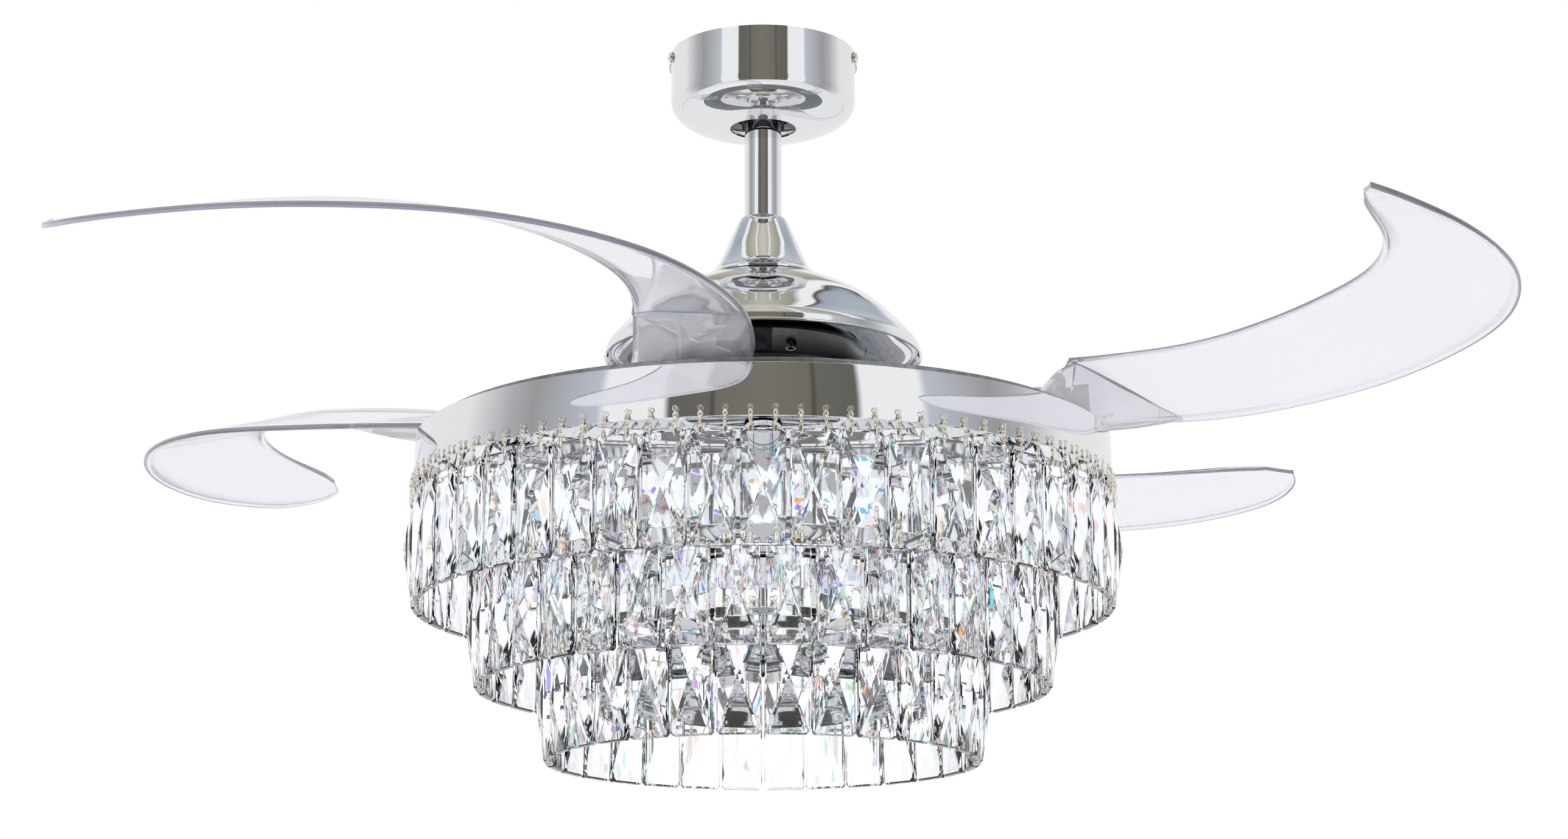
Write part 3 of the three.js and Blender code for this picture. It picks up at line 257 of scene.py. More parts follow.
@dataclass(frozen=True)
class ChromePlate(Finish):
    """Chrome on buffed steel: a clear mirror with faint wipe marks."""

    smear_mm: float = 34.0
    wave_mm: float = 46.0

    def dress(self, tree: Tree, shader: bpy.types.Node) -> None:
        """Adds wipe marks to the roughness and the polish's slow waves to the normal."""
        half = self.roughness * 0.5
        self.vary_gloss(tree, shader, self.noise(tree, self.smear_mm, 4.0), half, half)
        self.bump(tree, shader, self.noise(tree, self.wave_mm, 1.0), 0.05, 0.35)


@dataclass(frozen=True)
class ZincSteel(Finish):
    """Rolled sheet with zinc: dull silver with grey patches and fine rolling lines."""

    def dress(self, tree: Tree, shader: bpy.types.Node) -> None:
        """Adds the zinc's patches and the rolling lines."""
        patches = self.noise(tree, 6.0, 5.0)
        self.tint(tree, shader, patches, [
            (0.3, shade(self.colour, 0.86)), (0.52, self.colour), (0.75, shade(self.colour, 1.14))])
        self.vary_gloss(tree, shader, patches, 0.08, 0.1)
        self.bump(tree, shader, self.noise(tree, 0.8, 2.0, (1.0, 0.06, 1.0)), 0.02, 0.4)


@dataclass(frozen=True)
class SprayPaint(Finish):
    """Paint sprayed on steel, with the slight orange peel of its droplets."""

    peel_mm: float = 1.4

    def dress(self, tree: Tree, shader: bpy.types.Node) -> None:
        """Adds the orange peel and dusty variation of the gloss."""
        shader.inputs["Coat Weight"].default_value = 0.2
        self.vary_gloss(tree, shader, self.noise(tree, 12.0), 0.06, 0.08)
        self.bump(tree, shader, self.noise(tree, self.peel_mm, 1.0), 0.03)


@dataclass(frozen=True)
class BrightBrass(Finish):
    """Pale brass plate on pressed wire and screws, with spots of tarnish."""

    tarnish_mm: float = 2.2

    def dress(self, tree: Tree, shader: bpy.types.Node) -> None:
        """Adds the tarnish."""
        tarnish = self.noise(tree, self.tarnish_mm)
        self.tint(tree, shader, tarnish, [
            (0.25, shade(self.colour, 0.72)), (0.45, self.colour), (0.8, shade(self.colour, 1.1))])
        self.bump(tree, shader, tarnish, 0.02, 0.3)


@dataclass(frozen=True)
class ClearSheet(Finish):
    """Moulded acrylic: clear, with a lavender cast that deepens where it is thick."""

    ior: float = 1.49
    depth_colour: str = "#C4C0DA"
    depth_density: float = 26.0
    haze: float = 0.08

    def dress(self, tree: Tree, shader: bpy.types.Node) -> None:
        """Makes the plastic clear, tints its thickness and adds the mould's slow waves."""
        shader.inputs["Transmission Weight"].default_value = 1.0 - self.haze
        shader.inputs["IOR"].default_value = self.ior
        depth = add_node(
            tree, "ShaderNodeVolumeAbsorption",
            inputs={"Color": linear(self.depth_colour), "Density": self.depth_density})
        output = next(n for n in tree.nodes if n.bl_idname == "ShaderNodeOutputMaterial")
        tree.links.new(depth.outputs["Volume"], output.inputs["Volume"])
        self.bump(tree, shader, self.noise(tree, 60.0, 1.0), 0.12, 0.3)


@dataclass(frozen=True)
class CutGlass(Finish):
    """Machine cut crystal glass: sharp clear facets, with small spectral colours painted into a few
    cells as painted glints of light split by the facets.
    """

    ior: float = 1.56
    painted_glint_mm: float = 3.2

    def dress(self, tree: Tree, shader: bpy.types.Node) -> None:
        """Makes the glass clear and paints spectral colours into a few facet sized cells as painted
        glints.
        """
        shader.inputs["Transmission Weight"].default_value = 1.0
        shader.inputs["IOR"].default_value = self.ior
        cells = add_node(
            tree, "ShaderNodeTexVoronoi",
            inputs={"Vector": self.place(tree, (1.0, 1.0, 0.3)),
                    "Scale": 1.0 / (self.painted_glint_mm * MM)})
        parts = add_node(tree, "ShaderNodeSeparateColor", inputs={"Color": cells.outputs["Color"]})
        # painted glints: a few cells take spectral colours that stand in for light split by the
        # facets
        self.tint(tree, shader, parts.outputs["Red"], [
            (0.0, self.colour), (0.97, self.colour), (0.975, "#FFC98F"), (0.98, "#F7B4CC"),
            (0.985, "#AAB5FF"), (0.99, "#A2E6EB"), (0.995, "#C8F0B5"), (1.0, self.colour)])


@dataclass(frozen=True)
class Moulded(Finish):
    """Moulded plastic or rubber: even colour, with a fine grain from the mould."""

    grain_mm: float = 1.2
    depth_mm: float = 0.03

    def dress(self, tree: Tree, shader: bpy.types.Node) -> None:
        """Adds the mould's grain and a little change of gloss."""
        self.vary_gloss(tree, shader, self.noise(tree, 9.0), 0.05, 0.07)
        self.bump(tree, shader, self.noise(tree, self.grain_mm, 2.0), self.depth_mm)


@dataclass(frozen=True)
class WoundWire(Finish):
    """Enamelled copper wire, its turns drawn as bands wide enough to show, with painted shade in
    the grooves between turns and a painted highlight on each turn.
    """

    bands_per_m: float = 62.0

    def dress(self, tree: Tree, shader: bpy.types.Node) -> None:
        """Adds the turns of wire as bands of painted shade and painted highlight, and as a bump."""
        here = add_node(tree, "ShaderNodeTexCoord").outputs["Object"]
        bands = add_node(
            tree, "ShaderNodeTexWave", {"bands_direction": "Z"},
            {"Vector": here, "Scale": self.bands_per_m, "Distortion": 0.4}).outputs["Fac"]
        # painted shade: the dark stop darkens the grooves between turns; painted highlight: the
        # light stop brightens each turn
        self.tint(tree, shader, bands, [(0.0, "#5E2A12"), (0.6, self.colour), (1.0, "#D98B5C")])
        self.bump(tree, shader, bands, 0.25, 0.6)


@dataclass(frozen=True)
class BulbGlass(Finish):
    """Thin blown glass, clear, with a faint ripple."""

    ior: float = 1.5

    def dress(self, tree: Tree, shader: bpy.types.Node) -> None:
        """Makes the glass clear."""
        shader.inputs["Transmission Weight"].default_value = 1.0
        shader.inputs["IOR"].default_value = self.ior
        self.bump(tree, shader, self.noise(tree, 14.0, 1.0), 0.05, 0.3)


CHROME = ChromePlate("polished_chrome", "#E9EAEC", 0.03, 1.0)
STEEL = ZincSteel("zinc_plated_steel", "#9C9EA2", 0.34, 1.0)
DISH_STEEL = ZincSteel("dark_satin_dish", "#5C5E60", 0.22, 1.0)
BLACK = SprayPaint("black_spray_paint", "#161617", 0.38)
BRASS = BrightBrass("pale_brass_plate", "#EFE8DA", 0.1, 1.0)
BLADE_PLASTIC = ClearSheet("clear_acrylic", "#FAF9FE", 0.02, depth_density=32.0, haze=0.14)
ROOT_PLASTIC = ClearSheet("clear_acrylic_root", "#FDFCFF", 0.02, depth_density=5.0, haze=0.2)
RIB_PLASTIC = ClearSheet("clear_acrylic_ribs", "#FFFFFF", 0.03, depth_density=4.0, haze=0.62)
CRYSTAL = CutGlass("cut_crystal_glass", "#FBFCFE", 0.0)
NYLON = Moulded("natural_nylon", "#DDD8CB", 0.5)
RUBBER = Moulded("hard_black_rubber", "#0F0F10", 0.5, grain_mm=0.9, depth_mm=0.01)
COPPER = WoundWire("enamelled_copper_wire", "#B0653A", 0.3, 1.0)
HOLDER = Moulded("black_lamp_holder", "#1C1C1D", 0.34, grain_mm=2.0, depth_mm=0.02)
BULB = BulbGlass("clear_bulb_glass", "#FDFCF8", 0.02)


# ------------------------------------------------------------------ forms


@dataclass
class Form:
    """A mesh in the making: points in millimetres and the faces between them."""

    points: list[Vector] = field(default_factory=list)
    faces: list[tuple[int, ...]] = field(default_factory=list)

    def add(self, other: Form) -> Form:
        """Takes in another form's points and faces and returns itself."""
        start = len(self.points)
        self.points += other.points
        self.faces += [tuple(start + i for i in face) for face in other.faces]
        return self

    def moved(self, matrix: Matrix) -> Form:
        """Returns a copy that a matrix has moved."""
        return Form([matrix @ p for p in self.points], list(self.faces))


def turned_about_z(angle: float) -> Matrix:
    """Returns the turn about the fan's axis by an angle in degrees."""
    return Matrix.Rotation(math.radians(angle), 4, "Z")


def at(x: float, y: float, z: float) -> Matrix:
    """Returns the move to a place in millimetres."""
    return Matrix.Translation((x, y, z))


def rounded(profile: Profile, radius: float, steps: int = 3) -> Profile:
    """Rounds the corners of an open profile.

    Args:
        profile: Radius and height pairs.
        radius: Radius of the corners in millimetres, less where an edge is short.
        steps: Points of each corner past its first.

    Returns:
        The profile with an arc in place of each inner corner.
    """
    done = [profile[0]]
    for before, corner, after in zip(profile, profile[1:], profile[2:]):
        here = Vector(corner)
        back, ahead = Vector(before) - here, Vector(after) - here
        reach = min(radius, 0.45 * back.length, 0.45 * ahead.length)
        start, end = here + back.normalized() * reach, here + ahead.normalized() * reach
        for i in range(steps + 1):
            t = i / steps
            p = start * (1 - t) ** 2 + here * 2 * t * (1 - t) + end * t ** 2
            done.append((p.x, p.y))
    return [*done, profile[-1]]


def smooth_curve(points: Sequence[Sequence[float]], steps: int) -> list[tuple[float, ...]]:
    """Runs a uniform Catmull-Rom curve through points of any number of coordinates.

    Args:
        points: The points, which stay among the curve's.
        steps: Steps between one point and the next.

    Returns:
        Points of the curve.
    """
    ends = [[2 * a - b for a, b in zip(points[0], points[1])],
            [2 * a - b for a, b in zip(points[-1], points[-2])]]
    row = [ends[0], *points, ends[1]]
    curve = []
    for k in range(1, len(row) - 2):
        for i in range(steps):
            t = i / steps
            curve.append(tuple(
                0.5 * (2 * b + (c - a) * t + (2 * a - 5 * b + 4 * c - d) * t ** 2
                       + (3 * b - a - 3 * c + d) * t ** 3)
                for a, b, c, d in zip(row[k - 1], row[k], row[k + 1], row[k + 2])))
    return [*curve, tuple(points[-1])]


def lathe(profile: Profile, segments: int, closed: bool = True) -> Form:
    """Turns a profile about Z.

    Args:
        profile: Radius and height pairs; a pair on the axis closes the form there.
        segments: Facets round the axis.
        closed: Whether the last pair joins the first.

    Returns:
        The turned form.
    """
    form = Form()
    rows: list[list[int]] = []
    for radius, height in profile:
        start = len(form.points)
        if radius < 1e-6:
            form.points.append(Vector((0.0, 0.0, height)))
            rows.append([start] * segments)
            continue
        rows.append([start + i for i in range(segments)])
        for i in range(segments):
            turn = TAU * i / segments
            form.points.append(Vector((radius * math.cos(turn), radius * math.sin(turn), height)))
    pairs = list(zip(rows, rows[1:])) + ([(rows[-1], rows[0])] if closed else [])
    for upper, lower in pairs:
        if upper[0] == upper[1] and lower[0] == lower[1]:
            continue
        for i in range(segments):
            j = (i + 1) % segments
            form.faces.append(tuple(dict.fromkeys([upper[i], upper[j], lower[j], lower[i]])))
    return form


def shell(outside: Profile, wall: float) -> Profile:
    """Returns the closed profile of a thin shell, its wall laid inside the given line."""
    inside = []
    for i, (radius, height) in enumerate(outside):
        r0, h0 = outside[max(i - 1, 0)]
        r1, h1 = outside[min(i + 1, len(outside) - 1)]
        length = math.hypot(r1 - r0, h1 - h0) or 1.0
        inside.append((radius + (h1 - h0) / length * wall, height - (r1 - r0) / length * wall))
    return outside + inside[::-1]


def skin(rows: Sequence[Sequence[Vector]], ends: bool = True) -> Form:
    """Skins closed rings of points that all have the same count.

    Args:
        rows: Rings of points in order.
        ends: Whether the end rings get a face each; otherwise the last joins the first.

    Returns:
        The skinned form.
    """
    count, total = len(rows[0]), len(rows)
    form = Form([p for row in rows for p in row])
    for r in range(total - 1 if ends else total):
        here, there = r * count, (r + 1) % total * count
        for i in range(count):
            j = (i + 1) % count
            form.faces.append((here + i, here + j, there + j, there + i))
    if ends:
        form.faces.append(tuple(range(count)))
        form.faces.append(tuple(range((total - 1) * count, total * count))[::-1])
    return form


@dataclass(frozen=True)
class Screw:
    """A pan headed screw with a cross recess; it points down from z = 0."""

    head_r: float = 4.2
    head_h: float = 2.8
    shank_r: float = 1.8
    pitch: float = 1.0
    thread_depth: float = 0.3

    def form(self, length: float) -> Form:
        """Returns the screw with a shank of a length under its head."""
        head_r, head_h, shank_r = self.head_r, self.head_h, self.shank_r
        dome = [(head_r * math.cos(t), head_h * (0.35 + 0.65 * math.sin(t)))
                for t in (0.0, 0.35, 0.7, 1.05, 1.3)]
        thread: Profile = []
        z = -1.0
        while z > -length + self.pitch:
            thread += [(shank_r, z), (shank_r - self.thread_depth, z - self.pitch / 2)]
            z -= self.pitch
        recess = [(0.0, head_h * 0.45), (head_r * 0.26, head_h * 0.62),
                  (head_r * 0.3, head_h * 0.97)]
        line = [*recess, *dome[::-1], (head_r, 0.0), (shank_r, 0.0), *thread, (0.0, -length)]
        return lathe(line, 24, closed=False)


def make_mesh(name: str, form: Form, sharp: float) -> bpy.types.Object:
    """Makes a form into an object in metres, closed, smooth and facing out.

    Args:
        name: Name of the object and its mesh.
        form: The form in millimetres.
        sharp: Angle in degrees past which an edge stays sharp; 0 leaves every face flat.

    Returns:
        The object, at the origin.
    """
    mesh = bpy.data.meshes.new(name)
    mesh.from_pydata([p * MM for p in form.points], [], form.faces)
    work = bmesh.new()
    work.from_mesh(mesh)
    bmesh.ops.remove_doubles(work, verts=work.verts, dist=2e-6)
    bmesh.ops.dissolve_degenerate(work, edges=work.edges, dist=1e-7)
    bmesh.ops.recalc_face_normals(work, faces=work.faces)
    work.to_mesh(mesh)
    work.free()
    if sharp > 0:
        mesh.shade_smooth()
        mesh.set_sharp_from_angle(angle=math.radians(sharp))
    return add_object(name, mesh)


def add_object(name: str, data: bpy.types.ID) -> bpy.types.Object:
    """Puts a mesh, a lamp or a camera into the scene as an object."""
    made = bpy.data.objects.new(name, data)
    bpy.context.collection.objects.link(made)
    return made


def evaluated_mesh(piece: bpy.types.Object) -> bpy.types.Mesh:
    """Returns a new mesh with the piece's modifiers applied."""
    bpy.context.view_layer.update()
    graph = bpy.context.evaluated_depsgraph_get()
    return bpy.data.meshes.new_from_object(piece.evaluated_get(graph))


def carve(piece: bpy.types.Object, tool: Form, operation: str, sharp: float) -> None:
    """Cuts a form off a piece, or keeps only what lies inside the form.

    Args:
        piece: The piece, changed in place.
        tool: The closed form to cut with, in millimetres.
        operation: DIFFERENCE or INTERSECT.
        sharp: Angle in degrees past which an edge stays sharp.
    """
    cutter = make_mesh(f"{piece.name}_tool", tool, 0)
    modifier = piece.modifiers.new("carve", "BOOLEAN")
    modifier.operation = operation
    modifier.solver = "EXACT"
    modifier.use_self = True
    modifier.object = cutter
    piece.data = evaluated_mesh(piece)
    piece.modifiers.remove(modifier)
    piece.data.set_sharp_from_angle(angle=math.radians(sharp))
    bpy.data.objects.remove(cutter)


def settle(
    piece: bpy.types.Object, finish: Finish, body: str, nodes: Iterable[str] = ()
) -> bpy.types.Object:
    """Gives a piece its finish, its body and the CAD nodes that it stands for.

    Args:
        piece: The finished object.
        finish: What it is made of.
        body: The body that it rides on.
        nodes: CAD nodes that it replaces.

    Returns:
        The piece.
    """
    piece.data.materials.clear()
    piece.data.materials.append(finish.material())
    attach(piece, str(getattr(body, "value", body)))
    if nodes:
        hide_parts(*nodes)
    log.info("%s: %d faces on %s", piece.name, len(piece.data.polygons), body)
    return piece


def make_piece(
    name: str, form: Form, finish: Finish, body: str,
    nodes: Iterable[str] = (), sharp: float = SHARP,
) -> bpy.types.Object:
    """Makes a form into a settled piece; see make_mesh and settle for the arguments."""
    return settle(make_mesh(name, form, sharp), finish, body, nodes)


# ------------------------------------------------------------------ geometry nodes


@dataclass
class RingTree:
    """Geometry nodes that stand copies of a unit round the fan's axis."""

    title: str = "copies_round_axis"
    inputs: dict[str, str] = field(default_factory=dict)

    def build(self) -> Tree:
        """Builds the tree once, with named inputs for its count, sizes and finish."""
        found = bpy.data.node_groups.get(self.title)
        if found is not None:
            self.inputs = {item.name: item.identifier for item in found.interface.items_tree}
            return found
        tree = bpy.data.node_groups.new(self.title, "GeometryNodeTree")
        for name, kind in (("Unit", "Geometry"), ("Count", "Int"), ("Radius", "Float"),
                           ("Phase", "Float"), ("Swing", "Float"), ("Seed", "Int"),
                           ("Finish", "Material")):
            made = tree.interface.new_socket(
                name=name, in_out="INPUT", socket_type=f"NodeSocket{kind}")
            self.inputs[name] = made.identifier
        tree.interface.new_socket(name="Ring", in_out="OUTPUT", socket_type="NodeSocketGeometry")
        given = add_node(tree, "NodeGroupInput").outputs
        circle = add_node(
            tree, "GeometryNodeMeshCircle",
            inputs={"Vertices": given["Count"], "Radius": given["Radius"]})
        index = add_node(tree, "GeometryNodeInputIndex").outputs["Index"]
        share = calc(tree, "DIVIDE", index, given["Count"])
        turn = calc(tree, "MULTIPLY_ADD", share, TAU, given["Phase"])
        place = add_node(
            tree, "ShaderNodeVectorRotate", {"rotation_type": "Z_AXIS"},
            {"Vector": add_node(tree, "GeometryNodeInputPosition").outputs[0],
             "Angle": given["Phase"]}).outputs[0]
        points = add_node(
            tree, "GeometryNodeSetPosition",
            inputs={"Geometry": circle.outputs[0], "Position": place})
        chance = add_node(
            tree, "FunctionNodeRandomValue", {"data_type": "FLOAT"},
            {"ID": index, "Seed": given["Seed"]})
        floats = [s for s in chance.inputs if s.type == "VALUE" and s.enabled]
        tree.links.new(calc(tree, "MULTIPLY", given["Swing"], -1.0), floats[0])
        tree.links.new(given["Swing"], floats[1])
        drift = next(s for s in chance.outputs if s.type == "VALUE" and s.enabled)
        spin = add_node(
            tree, "ShaderNodeCombineXYZ", inputs={"Z": calc(tree, "ADD", turn, drift)}).outputs[0]
        copies = add_node(
            tree, "GeometryNodeInstanceOnPoints",
            inputs={"Points": points.outputs[0], "Instance": given["Unit"], "Rotation": spin})
        real = add_node(
            tree, "GeometryNodeRealizeInstances", inputs={"Geometry": copies.outputs[0]})
        dressed = add_node(
            tree, "GeometryNodeSetMaterial",
            inputs={"Geometry": real.outputs[0], "Material": given["Finish"]})
        add_node(tree, "NodeGroupOutput", inputs={0: dressed.outputs[0]})
        return tree

    def run(
        self, name: str, unit: Form, finish: Finish, count: int, radius: float,
        phase: float = 0.0, swing: float = 0.0, seed: int = 1, sharp: float = SHARP,
    ) -> bpy.types.Object:
        """Stands copies of a unit round the axis and returns them as one plain mesh.

        Args:
            name: Name of the piece.
            unit: One copy, drawn at the axis and facing +X, in millimetres.
            finish: What the copies are made of.
            count: Number of copies.
            radius: Distance of the copies from the axis in millimetres.
            phase: Angle of the first copy in degrees.
            swing: Most that a copy hangs turned about its own upright, in degrees.
            seed: Seed of that turn.
            sharp: Angle in degrees past which an edge stays sharp.

        Returns:
            The realised piece.
        """
        tree = self.build()
        source = make_mesh(f"{name}_unit", unit, sharp)
        source.data.materials.append(finish.material())
        modifier = source.modifiers.new("ring", "NODES")
        modifier.node_group = tree
        values = {
            "Count": count, "Radius": radius * MM, "Phase": math.radians(phase),
            "Swing": math.radians(swing), "Seed": seed, "Finish": finish.material(),
        }
        for key, value in values.items():
            modifier[self.inputs[key]] = value
        mesh = evaluated_mesh(source)
        bpy.data.objects.remove(source)
        mesh.name = name
        return add_object(name, mesh)


# ------------------------------------------------------------------ sub-assemblies


@dataclass
class CeilingMount:
    """The chrome canopy at the ceiling and its four brass screws."""

    top: float = -0.4
    radius: float = 69.5
    height: float = 58.2
    wall: float = 1.5
    hole_r: float = 24.8
    corner: float = 16.0
    screw_drop: float = 6.0
    screw_sides: tuple[float, ...] = (-10.0, 10.0, 170.0, 190.0)
    screw_length: float = 9.0
    slot_half: float = 2.4

    def profile(self) -> Profile:
        """Returns the outside line from the ceiling to the hole for the rod."""
        bottom = self.top - self.height
        start = Vector((self.radius, bottom + self.corner * 1.35))
        pull = Vector((self.radius, bottom + self.corner * 0.42))
        end = Vector((self.radius * 0.62, bottom + 1.1))
        bend = [start * (1 - t) ** 2 + pull * 2 * t * (1 - t) + end * t ** 2
                for t in (i / 18 for i in range(19))]
        return [(self.radius, self.top), (self.radius, self.top - 1.0),
                *((p.x, p.y) for p in bend), (self.hole_r + 3.0, bottom), (self.hole_r, bottom)]

    def build(self) -> None:
        """Builds the canopy with its slots, and the screws."""
        canopy = make_piece(
            "canopy_shell", lathe(shell(self.profile(), self.wall), 144), CHROME,
            Body.CEILING, ["canopy"])
        carve(canopy, self.slots(), "DIFFERENCE", SHARP)
        z = self.top - self.screw_drop
        flat = Matrix.Rotation(math.radians(90), 4, "Y")
        for i, side in enumerate(self.screw_sides):
            place = turned_about_z(side) @ at(self.radius + 0.4, 0, z) @ flat
            make_piece(f"canopy_brass_screw_{i + 1}", Screw().form(self.screw_length).moved(place),
                       BRASS, Body.CEILING, [f"canopy_screw_{i + 1}"])

    def slots(self) -> Form:
        """Returns the open slots that the canopy hangs on its screws by."""
        z, half = self.top - self.screw_drop, self.slot_half
        tool = Form()
        for side in self.screw_sides:
            rows = []
            for x in (self.radius - 8, self.radius + 4):
                arc = [Vector((x, half * math.cos(a), z + half * math.sin(a)))
                       for a in (math.pi + math.pi * i / 8 for i in range(9))]
                rows.append([Vector((x, -half, 4.0)), *arc, Vector((x, half, 4.0))])
            tool.add(skin(rows).moved(turned_about_z(side)))
        return tool


@dataclass
class RodAndCover:
    """The hanger ball, the rod below the canopy and the bell shaped cover."""

    ball_z: float = -32.0
    ball_r: float = 26.0
    ball_flat: float = 18.0
    rod_r: float = 13.85
    rod_wall: float = 2.0
    rod_top: float = -14.0
    rod_bottom: float = -159.2
    rod_gap: float = 0.4
    cover_top: float = -129.2
    cover_h: float = 47.2
    cover_top_r: float = 17.0
    cover_base_r: float = 41.0
    cover_wall: float = 1.4

    def cover_profile(self) -> Profile:
        """Returns the bell's outside line from its collar to its foot."""
        top_r, span = self.cover_top_r, self.cover_base_r - self.cover_top_r
        marks = [(top_r - 1.8, -0.005), (top_r + 1.2, -0.06), (top_r + span * 0.31, -0.35),
                 (top_r + span * 0.54, -0.63), (top_r + span * 0.79, -0.87),
                 (self.cover_base_r, -0.97)]
        line = [(r, self.cover_top + share * self.cover_h) for r, share in smooth_curve(marks, 7)]
        foot = (self.cover_base_r, self.cover_top - self.cover_h)
        return [(self.rod_r + 0.8, self.cover_top), *line, foot]

    def build(self) -> None:
        """Builds the ball, the rod and the cover."""
        bore = self.rod_r + self.rod_gap
        start = math.acos(self.ball_flat / self.ball_r)
        end = math.pi - math.asin(bore / self.ball_r)
        arc = [(self.ball_r * math.sin(t), self.ball_z + self.ball_r * math.cos(t))
               for t in (start + (end - start) * i / 28 for i in range(29))]
        ball = lathe([(bore, self.ball_z + self.ball_flat), *arc], 72)
        make_piece("hanger_ball_moulding", ball, RUBBER, Body.HANGER, ["hanger_ball"])
        inner = self.rod_r - self.rod_wall
        tube = rounded([(inner, self.rod_bottom), (inner, self.rod_top), (self.rod_r, self.rod_top),
                        (self.rod_r, self.rod_bottom), (inner + 0.01, self.rod_bottom)], 0.6)
        make_piece("downrod_tube", lathe(tube, 96), CHROME, Body.HANGER, ["downrod"])
        make_piece("coupling_bell", lathe(shell(self.cover_profile(), self.cover_wall), 128),
                   CHROME, Body.HANGER, ["coupling_cover"])


@dataclass
class DomeAndDish:
    """The chrome dome, its rolled lip and screws, and the grey dish over the motor."""

    top: float = -176.8
    radius: float = 117.2
    height: float = 62.0
    wall: float = 1.5
    lip: float = 1.2
    base_r: float = 41.0
    mouth_r: float = 20.0
    screw_r: float = 80.0
    screw_length: float = 7.0
    dish_r: float = 77.0
    dish_rim: float = -231.8
    dish_depth: float = 19.0
    dish_sheet: float = 2.0
    dish_bore: float = 7.4

    def line(self) -> Profile:
        """Returns the dome's outside line down to its lip."""
        marks = [(self.base_r / self.radius, 0.0), (0.52, -0.12), (0.7, -0.305), (0.815, -0.487),
                 (0.906, -0.665), (0.985, -0.84), (1.0, -0.97)]
        return [(r * self.radius, self.top + z * self.height) for r, z in smooth_curve(marks, 8)]

    def build(self) -> None:
        """Builds the dome, the dish and the screws of both."""
        bottom = self.top - self.height
        roll = [(self.radius + self.lip * math.sin(t), bottom + self.lip * (1 + math.cos(t)))
                for t in (math.pi * i / 6 for i in range(1, 7))]
        outside = [(self.mouth_r, self.top), *self.line(), *roll]
        make_piece("dome_shell", lathe(shell(outside, self.wall), 160), CHROME,
                   Body.HANGER, ["upper_dome"])
        marks = [(0.25, 0.0), (0.55, -0.12), (0.84, -0.5), (1.0, -1.0)]
        dish = [(self.dish_bore, self.dish_rim + self.dish_depth)]
        dish += [(r * self.dish_r, self.dish_rim + self.dish_depth * (1 + z))
                 for r, z in smooth_curve(marks, 8)]
        make_piece("motor_dish", lathe(shell(dish, self.dish_sheet), 128), DISH_STEEL,
                   Body.HANGER, ["top_dish"])
        self.build_screws()

    def height_at(self, radius: float) -> float:
        """Returns the height of the dome's outside at a radius."""
        line = self.line()
        for (r0, z0), (r1, z1) in zip(line, line[1:]):
            if r0 <= radius <= r1:
                return z0 + (z1 - z0) * (radius - r0) / (r1 - r0)
        return line[-1][1]

    def build_screws(self) -> None:
        """Builds the screws through the dome's shoulder and those under the dish."""
        screw = Screw()
        slope = self.height_at(self.screw_r - 2) - self.height_at(self.screw_r + 2)
        tilt = Matrix.Rotation(math.atan2(slope, 4.0), 4, "Y")
        upright = screw.form(self.screw_length).moved(at(0, 0, 0.4))
        shoulder = at(self.screw_r, 0, self.height_at(self.screw_r)) @ tilt
        for i, side in enumerate((0.0, 180.0)):
            make_piece(f"dome_fixing_{i + 1}", upright.moved(turned_about_z(side) @ shoulder),
                       STEEL, Body.HANGER, [f"dome_screw_{i + 1}"])
            low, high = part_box(f"dish_screw_{i + 1}")
            middle = (low[0] + high[0]) / 2 / MM, (low[1] + high[1]) / 2 / MM
            under = at(*middle, low[2] / MM + screw.head_h) @ Matrix.Rotation(math.pi, 4, "X")
            length = (high[2] - low[2]) / MM - screw.head_h
            make_piece(f"dish_fixing_{i + 1}", screw.form(length).moved(under), CHROME,
                       Body.HANGER, [f"dish_screw_{i + 1}"])


